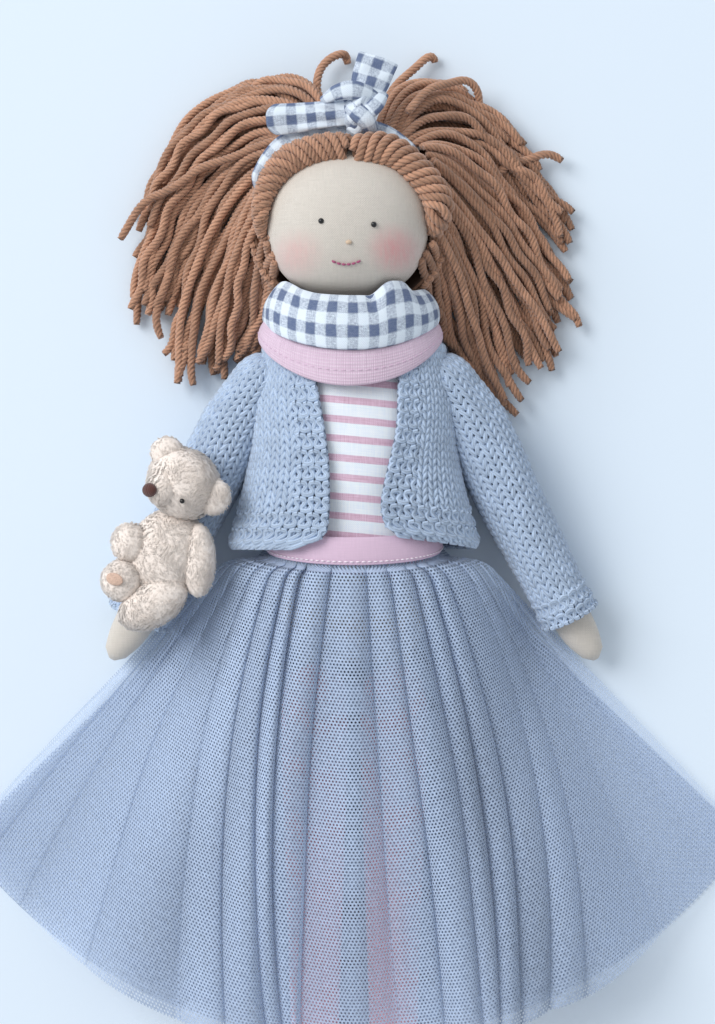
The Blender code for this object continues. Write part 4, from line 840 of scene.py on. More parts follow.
class DOLL_OT_body(bpy.types.Operator):
    """Stuffed torso, arms and legs, with the tabs and the flap that join them"""

    bl_idname = "doll.body"
    bl_label = "Body"

    def execute(self, context):
        skin = skin_finish("skin_linen")
        legs = colour_of(context.scene.doll_body.legs)
        stocking = plain_finish("stocking_cloth", legs, 0.9, 0.25, spread=0.10)
        self.torso(skin)
        for side, label in SIDES:
            self.arm(side, label, skin)
            self.leg(side, label, stocking)
        self.flap(skin)
        return {"FINISHED"}

    def torso(self, skin):
        """Ellipses up the torso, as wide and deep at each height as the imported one."""
        y = np.linspace(-TORSO_BELOW_WAIST, TORSO_LENGTH - TORSO_BELOW_WAIST, 46)
        angle = round_angles(48)
        points = round_torso(y[:, None], angle[None, :], 0.0)
        torso = surface("torso_skin", points, skin, (False, True), True, flip=True)
        keep(torso, "torso", "skin_cloth", "torso")

    def arm(self, side, label, skin):
        """Round at the shoulder, then the arm, and a hand that narrows to a blunt tip."""
        start, along, across = arm_frame(side)[:3]
        turn = np.radians((12, 28, 45, 62, 78))
        head = ARM_HALF_WIDTHS[0]
        share = np.linspace(0, 1, 42)
        middle = np.concatenate([-head * np.cos(turn), share * ARM_LENGTH])
        wide, deep = (
            np.concatenate([head * np.sin(turn), curve_through(share, ARM_STATION_SHARES, halves)])
            for halves in (ARM_HALF_WIDTHS, ARM_HALF_DEPTHS)
        )
        outward = HAND_OUTWARD * smoothstep(0.84, 1.0, middle / ARM_LENGTH)
        level = unit(across * np.array((1, 1, 0)))
        centres = start + along * middle[:, None] + level * (side * outward)[:, None]
        arm = stuffed(f"{label}_arm_skin", centres, wide, deep, level, skin)
        keep(arm, f"{label}_arm", "skin_cloth", f"{label}_arm")
        low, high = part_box(f"{label}_shoulder_tab")
        x = np.linspace(low.x, high.x, 9)
        angle = round_angles(40)
        radius = (high.z - low.z) / 2
        pinch = 1 - 0.12 * np.sin(math.pi * np.linspace(0, 1, 9))[:, None]
        reach = radius * pinch * (1 - 0.05 * (1 + np.cos(10 * angle[None, :])))
        points = stacked(x[:, None], start[1] + reach * np.cos(angle), start[2] + reach * np.sin(angle))
        tab = surface(f"{label}_shoulder_gather", points, skin, (False, True), True)
        keep(tab, f"{label}_shoulder", "skin_cloth", f"{label}_shoulder_tab")

    def leg(self, side, label, stocking):
        """A long tapering leg with the foot turned up at its end."""
        share = np.linspace(0, 0.94, 46)
        wide = LEG_HALF[0] * curve_through(share, LEG_STATION_SHARES, LEG_WIDTH_SHARES)
        deep = LEG_HALF[1] * curve_through(share, LEG_STATION_SHARES, LEG_DEPTH_SHARES)
        x = np.full_like(share, side * LEG_FROM_MIDDLE)
        y = LEG_TOP - LEG_LENGTH * share
        z = HIP_HEIGHT - (LEG_HALF[1] - deep) * np.minimum(1.0, share / LEG_STATION_SHARES[4])
        heel = LEG_TOP - LEG_LENGTH
        rise = np.array((0.04, 0.16, 0.32, 0.50, 0.68, 0.84, 0.95, 1.0))
        foot_y = heel + (y[-1] - heel) * (0.35 - 0.2 * rise)
        foot_z = z[-1] + (FOOT_LENGTH - FOOT_HALF_WIDTH) * rise
        foot_wide = FOOT_HALF_WIDTH * np.interp(rise, (0, 0.1, 0.45, 0.8, 1.0), (1.0, 1.0, 1.05, 0.95, 0.5))
        centres = np.stack(
            [np.append(x, np.full(8, x[-1])), np.append(y, foot_y), np.append(z, foot_z)], axis=-1
        )
        leg = stuffed(
            f"{label}_leg_skin",
            centres,
            np.append(wide, foot_wide),
            np.append(deep, foot_wide * 0.9),
            np.array((1.0, 0.0, 0.0)),
            stocking,
        )
        keep(leg, f"{label}_leg", "stocking_cloth", f"{label}_leg")

    def flap(self, skin):
        """The flat strip at the closing seam, thickest along its middle."""
        low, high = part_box("hip_flap")
        x = np.linspace(low.x, high.x, 30)
        centres = stacked(x, (low.y + high.y) / 2, (low.z + high.z) / 2)
        wide = np.full(30, (high.y - low.y) / 2)
        deep = np.full(30, (high.z - low.z) / 2)
        flap = stuffed("hip_flap_cloth", centres, wide, deep, np.array((0.0, 1.0, 0.0)), skin, 24, 5.0)
        keep(flap, "hips", "skin_cloth", "hip_flap")


EYE_PLACES = ((0.0097, -0.0024), (-0.0107, -0.0010))
EYE_RADIUS = 0.00112
NOSE_PLACE = (0.0, -0.0092)
MOUTH_MIDDLE = -0.0010
MOUTH_HALF_WIDTH = 0.0057
MOUTH_DROP = 0.0159
MOUTH_SAG = 0.0015
MOUTH_STITCHES = 6


class DOLL_OT_head(bpy.types.Operator):
    """Linen head with blush, bead eyes, a knot for a nose and a smile in back stitch"""

    bl_idname = "doll.head"
    bl_label = "Head"

    def execute(self, context):
        self.skull()
        self.eyes()
        self.nose()
        self.mouth()
        return {"FINISHED"}

    def skull(self):
        """An egg, narrower at the chin, full at the jowls and a little wider on one side.

        Above the middle its half width is a sine; below, the root of one minus a power.
        """
        polar, angle = ball_angles(math.radians(2), 60, 84)
        up = np.cos(polar) * np.ones_like(angle)
        low = np.clip(-up, 0, 1)
        full = (1 - low**HEAD_JOWL_POWER) ** (1 / HEAD_JOWL_POWER)
        reach = np.where(up < 0, full, np.sin(polar))
        x = HEAD_HALF[0] * reach * np.cos(angle) * (1 + HEAD_CHIN_SHARE * up)
        x = x - HEAD_LEAN * reach * (np.cos(angle) < 0)
        z = HEAD_HALF[2] * np.sin(polar) * np.sin(angle)
        points = HEAD_CENTRE + np.stack([x, HEAD_HALF[1] * up, z], axis=-1)
        head = surface("head_skin", points, skin_finish("face_linen", True), (False, True), True)
        keep(head, "torso", "skin_cloth", "head")

    def eyes(self):
        """Glossy beads, a little flat, each seated in the linen."""
        gloss = Finish("black_bead", 0.12, 0.0, specular=0.6)
        gloss.set(Base_Color=(0.006, 0.006, 0.008))
        polar, angle = ball_angles(math.radians(4), 16, 24)
        ball = directions(polar, angle)
        for (_side, label), (across, up) in zip(SIDES, EYE_PLACES):
            centre, _way = head_point(across, up, EYE_RADIUS * 0.25)
            points = centre + ball * EYE_RADIUS
            bead = surface(f"{label}_eye_bead", points, gloss.material, (False, True), True, flip=True)
            keep(bead, "torso", "black_bead", f"{label}_eye")

    def nose(self):
        """A knot of thread: a small lumpy oval with turns of thread round it."""
        thread = plain_finish("nose_thread", (0.66, 0.50, 0.36), 0.85, 0.2)
        centre = head_point(*NOSE_PLACE, 0.0004)[0]
        polar, angle = ball_angles(math.radians(4), 18, 28)
        turns = 1 + 0.07 * np.sin(5 * polar + 3 * angle)
        across, deep = np.sin(polar) * np.cos(angle), 0.9 * np.sin(polar) * np.sin(angle)
        shape = stacked(1.35 * np.cos(polar), across, deep)
        knot = surface("nose_knot", centre + shape * turns[..., None] * 0.00085, thread, (False, True), True)
        keep(knot, "torso", "skin_cloth", "nose")

    def mouth(self):
        """Back stitches end to end along a shallow arc, laid on the linen."""
        thread = yarn_finish("mouth_thread", (0.58, 0.13, 0.27), 3.0, 0.0001, 0.2, 0.3)
        gap = 0.10
        ends = np.linspace(-1, 1, MOUTH_STITCHES + 1)
        step = ends[1] - ends[0]
        points = []
        for share in (ends[:-1] + step * gap, ends[1:] - step * gap):
            up = -MOUTH_DROP - MOUTH_SAG * (1 - share**2)
            points.append(head_point(MOUTH_MIDDLE + share * MOUTH_HALF_WIDTH, up, 0.0003))
        (starts, facing), (stops, _) = points
        mouth = small_stitches("mouth_back_stitches", starts, stops, 0.00050, thread, facing, 8)
        keep(mouth, "torso", "mouth_thread", "mouth_stitches")


HAIR_CAP_AWAY = 0.0094
ROLL_HEIGHT = HEAD_CENTRE[2] + 0.0098
ROLL_STRANDS = 4
ROLL_TWIST = 0.0152

# Each roll's middle line in the photograph's places, and its half width there
ROLL_PX = {
    1: ((352, 152), (367, 150), (384, 150), (401, 157), (418, 172), (430, 186), (438, 202), (438.5, 217),
        (434, 235)),
    -1: ((347, 149), (331, 148), (313, 151), (291, 159), (275, 174), (266, 190), (261.5, 204), (260, 220),
         (262, 237)),
}
ROLL_HALF_PX = {
    1: (16.5, 18.0, 18.5, 17.0, 16.3, 16.0, 16.0, 13.7, 8.0),
    -1: (16.7, 16.7, 16.5, 16.5, 14.5, 12.2, 10.8, 8.2, 5.5),
}

# Guide strands of the loose hair: four places of the photograph along each, root to tip
RIGHT_FAN_PX = (
    ((340, 122), (300, 80), (236, 92), (194, 132)),
    ((328, 124), (268, 88), (208, 114), (166, 182)),
    ((312, 126), (242, 104), (178, 160), (134, 248)),
    ((296, 130), (228, 138), (168, 215), (131, 308)),
    ((284, 142), (224, 172), (176, 240), (158, 322)),
    ((276, 155), (222, 200), (184, 275), (168, 340)),
    ((272, 168), (228, 220), (200, 300), (180, 384)),
    ((268, 186), (238, 240), (216, 310), (204, 366)),
    ((266, 204), (244, 256), (226, 318), (214, 372)),
    ((266, 222), (256, 270), (246, 322), (226, 366)),
    ((268, 240), (268, 282), (258, 326), (238, 360)),
    ((276, 262), (270, 292), (264, 320), (250, 350)),
)
LEFT_FAN_PX = (
    ((376, 134), (386, 102), (408, 82), (440, 80)),
    ((384, 136), (408, 96), (444, 88), (482, 112)),
    ((392, 138), (430, 98), (484, 110), (528, 158)),
    ((400, 140), (450, 114), (508, 146), (560, 208)),
    ((412, 146), (470, 146), (526, 196), (574, 270)),
    ((428, 148), (480, 180), (528, 242), (574, 318)),
    ((434, 164), (482, 210), (530, 272), (570, 330)),
    ((436, 180), (478, 236), (522, 306), (556, 374)),
    ((436, 200), (472, 262), (502, 330), (524, 392)),
    ((434, 220), (460, 282), (482, 344), (508, 402)),
    ((432, 238), (444, 285), (462, 335), (492, 392)),
    ((424, 258), (430, 298), (448, 340), (476, 374)),
)

# Single strands that stray from the fans, in the same way
RIGHT_STRAYS_PX = (
    ((334, 118), (318, 84), (338, 54), (350, 72)),
    ((292, 136), (205, 168), (142, 208), (116, 252)),
    ((296, 124), (210, 112), (160, 170), (146, 222)),
)
LEFT_STRAYS_PX = (
    ((382, 128), (398, 84), (424, 58), (433, 68)),
    ((408, 112), (448, 82), (476, 92), (479, 125)),
    ((420, 150), (486, 178), (526, 158), (573, 172)),
    ((424, 140), (490, 150), (548, 200), (566, 236)),
)
FAN_LEVELS = 3
LOCKS = 6
FAN_ROOT_HEIGHTS = (0.0150, 0.0225, 0.0310)
FAN_TIP_HEIGHTS = (0.0019, 0.0046, 0.0074)

# From these guides on the strands leave the roll above the band
FAN_OVER_BAND_FROM = {1: 4.6, -1: 6.6}
FAN_HIGH_ROOT_HEIGHTS = (0.0300, 0.0345, 0.0385)


def on_hair(angle, away):
    """Plan points of the head's outline at an angle from +X, this far outside it."""
    x = HEAD_CENTRE[0] + (HEAD_HALF[0] + away) * np.cos(angle)
    y = HEAD_CENTRE[1] + (HEAD_HALF[1] + away) * np.sin(angle)
    return x, y


class DOLL_OT_hair(bpy.types.Operator):
    """Yarn hair: strands over the cap, two wrapped rolls round the face and the loose fans"""

    bl_idname = "doll.hair"
    bl_label = "Hair"

    def execute(self, context):
        settings = context.scene.doll_hair
        self.radius, self.twist = settings.radius, settings.twist
        self.yarn = yarn_finish("hair_yarn", colour_of(settings.colour), PLIES, contrast=0.36, valley_shade=0.52)
        # Painted shade: a dark copy of the yarn's colour for the cloth under the strands, showing in their
        # gaps.
        self.ground = plain_finish("hair_shade_backing", darker(colour_of(settings.colour), 0.35))
        self.cap()
        for side, label in SIDES:
            self.roll(side, label)
        self.fan(1, "left", LEFT_FAN_PX, LEFT_STRAYS_PX, settings.strands)
        self.fan(-1, "right", RIGHT_FAN_PX, RIGHT_STRAYS_PX, settings.strands)
        return {"FINISHED"}

    def cap_point(self, way, away):
        """The point of the grown head in a direction, one for each direction given."""
        half = HEAD_HALF + away
        return HEAD_CENTRE + way / np.linalg.norm(way / half, axis=-1, keepdims=True)

    def cap(self):
        """Strands from the parting down the back of the head to the cap's edge on each side.

        Each runs along the head's oval from a direction in the parting's plane to one on
        the edge, by passing evenly from the first to the second.
        """
        count, steps = 30, 26
        share = np.linspace(0, 1, count)
        back = np.radians(88 - 128 * share)
        edge = np.radians(86 - 122 * share)
        t = np.linspace(0.02, 1, steps)[None, :, None]
        paths = []
        for side, _label in SIDES:
            first = np.stack([np.zeros(count), np.sin(back), -np.cos(back)], axis=-1)
            last = np.stack([side * np.cos(edge), np.sin(edge), np.full(count, -0.06)], axis=-1)
            way = unit(first[:, None] * (1 - t) + last[:, None] * t)
            paths.append(self.cap_point(way, HAIR_CAP_AWAY - self.radius))
        paths = np.concatenate(paths)
        facing = unit((paths - HEAD_CENTRE) / HEAD_HALF**2)
        strands = yarn("hair_cap_strands", paths, self.radius, self.twist, self.yarn, 0.0014, facing, 1)
        # A dark cloth just under the strands: painted shade in the gaps between them.
        polar = np.linspace(0.05, math.pi / 2 - 0.06, 20)[::-1][:, None]
        angle = round_angles(48)[None, :]
        way = directions(polar, angle) * np.array((1, 1, -1))
        under = self.cap_point(way, HAIR_CAP_AWAY - 2 * self.radius)
        cap = surface("hair_cap_cloth", under, self.ground, (False, True))
        wall = cap.modifiers.new("cloth", "SOLIDIFY")
        wall.thickness = 0.001
        wall.offset = 0
        keep(strands, "torso", "hair_yarn", "hair_cap")
        keep(cap, "torso", "hair_yarn")

    def roll(self, side, label):
        """Strands wound side by side round a core, from the parting to the cheek.

        Each is a helix about the core's line: the core plus its radius times the cosine
        along one square way and the sine along the other.
        """
        steps = 90
        share = np.linspace(0, 1, steps)
        stations = np.linspace(0, 1, len(ROLL_PX[side]))
        line = curve_through(share, stations, ROLL_PX[side])
        tuck = smoothstep(0.82, 1.0, share)
        core = photo_point(line[:, 0], line[:, 1], ROLL_HEIGHT - 0.006 * tuck)
        radius = photo_length(curve_through(share, stations, ROLL_HALF_PX[side]), ROLL_HEIGHT)
        ahead = unit(np.gradient(core, axis=0))
        out = unit(UP - ahead * (ahead @ UP)[:, None])
        across = np.cross(ahead, out)
        length = path_length(core[None])[0]
        start = np.arange(ROLL_STRANDS) * (math.tau / ROLL_STRANDS)
        turn = start[:, None] - side * length[None, :] * (math.tau / ROLL_TWIST)
        away = (radius - self.radius)[None, :, None]
        way = out[None] * np.cos(turn)[..., None] + across[None] * np.sin(turn)[..., None]
        paths = core[None] + way * away
        thick = self.radius * 1.06
        roll = yarn(f"{label}_roll_strands", paths, thick, self.twist, self.yarn, 0.0009, way, 2 + side)
        # A dark core inside the wound strands: painted shade in the gaps between them.
        filling = swept(core[None, ::3], (radius[::3] * 0.55)[None], np.ones(10), UP)
        core_piece = surface(f"{label}_roll_core", filling, self.ground, (False, True), True)
        keep(roll, "torso", "hair_yarn", f"{label}_hair_roll")
        keep(core_piece, "torso", "hair_yarn")

    def fan(self, side, label, guides_px, strays_px, count):
        """Loose strands between guides, in levels that lie on one another.

        Between two guides a strand's four places pass evenly from one to the other; the
        strand is the cubic through them, with a small wave across it, and its height falls
        from the root to the floor.
        """
        chance = np.random.default_rng(SEED + 20 + side)
        guides = np.array(guides_px, float)
        steps = 44
        last = len(guides) - 1
        order = (np.arange(count) + 0.5) / count * last
        order = np.clip(order + chance.uniform(-0.35, 0.35, count) * last / count * 2.0, 0, last - 1e-6)
        low = order.astype(int)
        places = guides[low] + (guides[low + 1] - guides[low]) * (order - low)[:, None, None]
        spread = np.array((2.5, 4.5, 6.5, 8.5))[None, :, None]
        places = places + chance.normal(0, 0.75, (count, 4, 2)) * spread
        strays = np.array(strays_px, float)
        places[: len(strays)], order[: len(strays)] = strays, 0.2
        level = np.arange(count) * 2 % FAN_LEVELS
        t = np.linspace(0, 1, steps)[None, :] * chance.uniform(0.82, 1.05, count)[:, None]
        knots = np.array(THIRDS)
        flat = np.zeros((count, steps, 2))
        for k in range(4):
            weight = np.ones_like(t)
            for other in range(4):
                if other != k:
                    weight = weight * (t - knots[other]) / (knots[k] - knots[other])
            flat += weight[..., None] * places[:, None, k]
        over = smoothstep(-0.4, 0.4, order - FAN_OVER_BAND_FROM[side])
        low_root, high_root = np.array(FAN_ROOT_HEIGHTS)[level], np.array(FAN_HIGH_ROOT_HEIGHTS)[level]
        root = low_root + (high_root - low_root) * over + chance.uniform(-0.0015, 0.0015, count)
        tip = np.array(FAN_TIP_HEIGHTS)[level] + chance.uniform(0.0, 0.0006, count)
        fall = np.clip(1 - t, 0, 1) ** (chance.uniform(1.3, 2.2, count) - 0.2 * over)[:, None]
        height = tip[:, None] + (root - tip)[:, None] * fall
        paths = photo_point(flat[..., 0], flat[..., 1], height)
        ahead = unit(np.gradient(paths, axis=1))
        across = unit(np.cross(UP, ahead))
        length = path_length(paths)

        def swing(shortest, longest):
            """A sine along each strand, with its own pitch and start."""
            pitch, start = chance.uniform(shortest, longest, count), chance.uniform(0, math.tau, count)
            return np.sin(length * (math.tau / pitch)[:, None] + start[:, None])

        wave, rise = swing(0.018, 0.040), swing(0.020, 0.045)
        free = np.minimum(1, 2 * t)
        paths = paths + across * (wave * chance.uniform(0.0002, 0.0013, count)[:, None] * free)[..., None]
        paths = paths + UP * (np.abs(rise) * 0.0009 * free)[..., None]
        groups = np.minimum((order / last * LOCKS).astype(int), LOCKS - 1)
        for k in range(LOCKS):
            name = f"{label}_loose_strands_{k + 1}"
            seed = 30 + 10 * side + k
            piece = yarn(name, paths[groups == k], self.radius, self.twist, self.yarn, seed=seed)
            keep(piece, "torso", "hair_yarn", f"{label}_hair_lock_{k + 1}")


def blob(name, centre, ways, material, lumps=0.0, seed=0, rows=30, columns=40, waves=0.5):
    """A closed rounded form: a ball stretched along three ways, with shallow lumps.

    ways holds the three half axes as rows; a point is the centre plus their sum weighted by
    the direction's parts, times one plus a small uneven field of the two angles.
    """
    polar, angle = ball_angles(0.04, rows, columns)
    ball = directions(polar, angle)
    uneven = ripple(ball[..., 0] * 1.3 + ball[..., 2], ball[..., 1] * 1.3 - ball[..., 2], waves, seed)
    points = np.asarray(centre) + (ball @ np.asarray(ways)) * (1 + lumps * uneven)[..., None]
    return surface(name, points, material, (False, True), True)


KNOT_PX = (360, 112)
LONG_TAIL_PX = ((350, 112), (323, 115), (296, 118), (266, 120))
LONG_TAIL_HALF = (0.0050, 0.0054, 0.0060, 0.0064)
SHORT_TAIL_PX = ((364, 100), (369, 85), (374, 70), (379, 57))
SHORT_TAIL_HALF = (0.0056, 0.0074, 0.0080, 0.0083)
TAIL_HEIGHT = 0.0378
THIRDS = (0, 1 / 3, 2 / 3, 1)
HEADBAND_SPAN_DEG = (-18.0, 198.0)
HEADBAND_SHOWN_DEG = (50.0, 152.0)
HEADBAND_DIP = 0.0120
HEADBAND_HALF_WIDTH = 0.0040


class DOLL_OT_headband(bpy.types.Operator):
    """Gingham band behind the rolls, its knot and its two tails"""

    bl_idname = "doll.headband"
    bl_label = "Headband"

    def execute(self, context):
        gingham = gingham_finish("headband_gingham")
        self.band(gingham)
        self.knot(gingham)
        self.tail("headband_long_tail", LONG_TAIL_PX, LONG_TAIL_HALF, gingham, 0.0011, 4, (0.0, -0.55))
        self.tail("headband_short_tail", SHORT_TAIL_PX, SHORT_TAIL_HALF, gingham, 0.0015, 3, (0.03, -0.04))
        return {"FINISHED"}

    def band(self, gingham):
        """A flat folded strip along the head's outline, crowned, with a few creases along it."""
        angle = np.radians(np.linspace(*HEADBAND_SPAN_DEG, 120))[:, None]
        around = round_angles(28)[None, :]
        across, thick = np.cos(around), np.sin(around)
        first, last = np.radians(HEADBAND_SHOWN_DEG)
        beyond = np.maximum(first - angle, angle - last)
        half = HEADBAND_HALF_WIDTH * (1 - 0.62 * smoothstep(-0.45, 0.05, beyond))
        tuck = smoothstep(-0.05, 0.25, beyond)
        out = 0.0094 + 0.0016 * (np.cos(angle) < 0) * smoothstep(0, 0.5, -np.cos(angle)) - 0.0070 * tuck
        out = out + half * signed_power(across, 0.7)
        x, y = on_hair(angle, out)
        crease = 0.00035 * ripple(across * 2.2 + 0 * angle, angle * 1.4, 1.3, 11)
        z = HEAD_CENTRE[2] - 0.0004 - 0.0010 * across + 0.0008 * thick + 0.0009 * (1 - across**2)
        z = z + crease * (thick > 0) - HEADBAND_DIP * tuck
        band = surface("headband_strip", stacked(x, y, z), gingham, (False, True), True)
        keep(band, "torso", "gingham", "headband")

    def knot(self, gingham):
        """A round knot under a wrap: a pinched ball, and two rolled folds laid over it."""
        at = photo_point(*KNOT_PX, 0.0385)
        ways = turned(62) * np.array((0.0082, 0.0056, 0.0058))[:, None]
        ball = blob("headband_knot_ball", at, ways, gingham, 0.10, 5, 36, 48, 0.9)
        folds = []
        for px, half, height, seed in (
            (((322, 101), (338, 92), (356, 90), (376, 97)), (0.0016, 0.0032, 0.0036, 0.0022), 0.0434, 3),
            (((347, 104), (357, 112), (366, 120), (372, 131)), (0.0022, 0.0036, 0.0036, 0.0026), 0.0432, 4),
            (((384, 94), (377, 104), (368, 113), (352, 133)), (0.0020, 0.0030, 0.0032, 0.0030), 0.0426, 6),
        ):
            share = np.linspace(0, 1, 26)
            px = curve_through(share, THIRDS, px)
            drop = height - 0.0040 * (2 * share - 1) ** 2
            centres = photo_point(px[:, 0], px[:, 1], drop)
            half = curve_through(share, THIRDS, half)
            ahead = unit(np.gradient(centres, axis=0))
            side = np.cross(ahead, UP)
            folds.append(stuffed(f"headband_fold_{seed}", centres, half, half * 0.55, side, gingham, 22, 2.4))
        knot = joined("headband_knot_cloth", ball, *folds)
        keep(knot, "torso", "gingham", "headband_knot")

    def tail(self, name, px, half, gingham, half_thick, waves, slant):
        """A flat tube of cloth along a line of the photograph, rounded at its sides, with folds.

        The section is a squared oval; its middle rises and falls by a ripple along the tail,
        and the end is cut on a slant: each side's length grows with how far it is across.
        """
        share = np.linspace(0, 1, 40)[:, None]
        line = curve_through(share[:, 0], THIRDS, px)
        centres = photo_point(line[:, 0], line[:, 1], TAIL_HEIGHT + 0.0010 * (1 - share[:, 0]))
        ahead = unit(np.gradient(centres, axis=0))
        side = np.cross(ahead, UP)
        wide = curve_through(share[:, 0], THIRDS, half)
        around = round_angles(44)[None, :]
        cos, sin = np.cos(around), np.sin(around)
        across = signed_power(cos, 0.72)
        round_end = np.sqrt(np.clip(1 - np.clip((share - 0.94) / 0.075, 0, 1) ** 2.5, 0.0, 1))
        thick = half_thick * (0.30 + 0.70 * round_end) * signed_power(sin, 0.8)
        lift = 0.0011 * ripple(across * 0.6, share * 1.2, waves * 0.5, 17 + waves) * smoothstep(0, 0.2, share)
        lift = lift + 0.0012 * (1 - across**2) * (1 - 0.5 * share)
        reach = wide[:, None] * (0.90 + 0.10 * round_end) * across
        slide = wide[:, None] * (slant[0] * across + slant[1] * np.abs(across) ** 3)
        slide = slide * smoothstep(0.70, 1.0, share)
        points = (
            centres[:, None]
            + side[:, None] * reach[..., None]
            + ahead[:, None] * slide[..., None]
            + UP * (thick + lift)[..., None]
        )
        piece = surface(name + "_cloth", points, gingham, (False, True), True)
        keep(piece, "torso", "gingham", name)


STRIPE_AT = 0.05875
STRIPE_TILT = 0.09
STRIPE_SHARE = 0.36
TOP_SPAN = (-0.008, 0.085)


class DOLL_OT_top(bpy.types.Operator):
    """Striped sleeveless top round the torso"""

    bl_idname = "doll.top"
    bl_label = "Striped top"

    def execute(self, context):
        y = np.linspace(*TOP_SPAN, 90)[:, None]
        angle = round_angles(120)[None, :]
        fold = 0.00035 * ripple(np.cos(angle) * 1.5, y / 0.05, 1.0, 31) * np.clip(np.sin(angle), 0, 1)
        points = round_torso(y, angle, TOP_AWAY + 0.0004 + fold)
        uv = measured(points[None], False, True)
        closed = np.concatenate([points, points[:, :1]], axis=1)
        uv[..., 1] = closed[..., 1] + STRIPE_TILT * closed[..., 0] - STRIPE_AT
        cotton = striped_finish("striped_cotton")
        top = surface("striped_top_cloth", points, cotton, (False, True), uv=uv, flip=True)
        keep(top, "torso", "striped_cotton", "striped_top")
        return {"FINISHED"}


KNIT_POINTS = 12
KNIT_SIDES = 6
KNIT_LEAN = 0.26
KNIT_HALF_RISE = 0.82
KNIT_DEPTH = 0.00052
KNIT_RIDGE = 0.00042
KNIT_YARN_SHARE = 0.225
CARDIGAN_HEM = 0.0030
CARDIGAN_NECK = 0.084
CARDIGAN_FLARE_FROM = 0.0435
CARDIGAN_HEM_HALF_WIDTH = 0.0490
CARDIGAN_SIDE = 0.0395
CARDIGAN_SIDE_NARROWS = (0.058, 0.084)
CARDIGAN_SIDE_NARROWING = 0.12
CARDIGAN_OVER_BAND = (0.034, 0.020)
CARDIGAN_BAND_AWAY = 0.0060
OPENING = {
    -1: ((0.0030, 0.0062, 0.0101, 0.0337, 0.0500, 0.0671, 0.084),
         (0.0235, 0.0140, 0.0102, 0.0094, 0.0112, 0.0141, 0.017)),
    1: ((0.0030, 0.0085, 0.0125, 0.0219, 0.0494, 0.0671, 0.084),
        (0.0235, 0.0160, 0.0118, 0.0104, 0.0161, 0.0169, 0.018)),
}
HEM_RISE = {-1: 0.0, 1: 0.0050}
SEAM_RISE = 0.0036
SLEEVE_RADIUS = 0.0112
SLEEVE_STATION_SHARES = (0.0, 0.27, 0.63, 0.88, 1.0)
SLEEVE_RADIUS_SHARES = (1.0, 1.02, 0.98, 0.86, 0.92)
SLEEVE_ABOVE_SHOULDER = 0.0125
SLEEVE_TOP_LEAN = 0.0034


def cardigan_point(y, angle, away):
    """A point of the cardigan: close at the shoulders, flaring to the hem, lifted over the band.

    The ellipse's half width passes from the torso's own to the hem's as a power of the share
    below the flare, and the distance off the torso grows where the waistband lies beneath.
    """
    loose = np.clip((CARDIGAN_FLARE_FROM - y) / (CARDIGAN_FLARE_FROM - CARDIGAN_HEM), 0, 1) ** 1.3
    slim = 1 - CARDIGAN_SIDE_NARROWING * smoothstep(*CARDIGAN_SIDE_NARROWS, y)
    close = np.maximum(torso_width(y), CARDIGAN_SIDE * slim - CARDIGAN_AWAY) + away
    width = close + (CARDIGAN_HEM_HALF_WIDTH - CARDIGAN_AWAY + away - close) * loose
    start, end = CARDIGAN_OVER_BAND
    over = np.clip((start - y) / (start - end), 0, 1)
    return round_torso(y, angle, away + (CARDIGAN_BAND_AWAY - CARDIGAN_AWAY) * over, width)


class Panel:
    """A knitted panel: the place of a share across and a share up, this far off its cloth."""

    def __init__(self, name, stitches, rows, place, garter=None, shown=None):
        self.name, self.stitches, self.rows = name, stitches, rows
        self.place = place
        self.garter = garter
        self.shown = shown

    def cloth(self, material, closed=False, flip=False):
        """The ground behind the stitches, a little under their yarn; given a dark material, it is painted
        shade between the stitches.
        """
        columns, rows = 2 * self.stitches, 2 * self.rows
        u = np.linspace(0, 1, columns, endpoint=not closed)[None, :]
        v = np.linspace(0, 1, rows)[:, None]
        points = self.place(u, v, 0.0)
        return surface(self.name + "_cloth", points, material, (False, closed), flip=flip)

    def knit(self, yarn_radius, material, height=0.0009):
        """Every stitch as a loop of yarn.

        Along one stitch, t runs from 0 to a full turn: across is t plus a lean times the
        sine of 2t, up is the rise times the cosine of t, and off the cloth is minus the
        depth times the cosine of 2t, which brings the two legs forward. Purl stitches in
        the garter bands have that last sign turned round and stand a ridge higher.
        """
        t = np.linspace(0, math.tau, KNIT_POINTS + 1)[None, None, :]
        i, j = np.meshgrid(np.arange(self.stitches), np.arange(self.rows))
        i, j = i[..., None], j[..., None]
        across = (i + t / math.tau + KNIT_LEAN * np.sin(2 * t)) / self.stitches
        up = (j + 0.5 + KNIT_HALF_RISE * np.cos(t)) / self.rows
        front, ridge = np.ones_like(up), 0.0
        if self.garter is not None:
            turned = np.where(j % 2 == 0, 1.0, -1.0)
            share = np.clip(self.garter(across, (j + 0.5) / self.rows + 0 * t), 0, 1)
            front = 1 + (turned - 1) * share
            ridge = -KNIT_RIDGE * turned * share
        chance = np.random.default_rng(SEED + self.stitches * self.rows)
        loose = chance.normal(0, 1, (*i.shape[:2], 2))
        up = up + (loose[..., :1] * 0.05) / self.rows
        off = height + ridge - KNIT_DEPTH * np.cos(2 * t) * front + loose[..., 1:] * 0.00006
        paths = self.place(across, np.clip(up, 0, 1), off)
        facing = unit(self.place(across, np.clip(up, 0, 1), off + 0.001) - paths)
        shown = np.ones(i.shape[:2], bool) if self.shown is None else self.shown(paths)
        paths, facing = paths[shown], facing[shown]
        tubes = swept(paths, yarn_radius, np.ones(KNIT_SIDES), facing)
        length = path_length(paths)
        around = np.arange(KNIT_SIDES + 1) / KNIT_SIDES
        uv = stacked(around[None, None, :], length[:, :, None])
        shade = chance.uniform(0, 1, len(paths))
        return surface(self.name + "_stitches", tubes, material, (False, True), False, uv, shade)


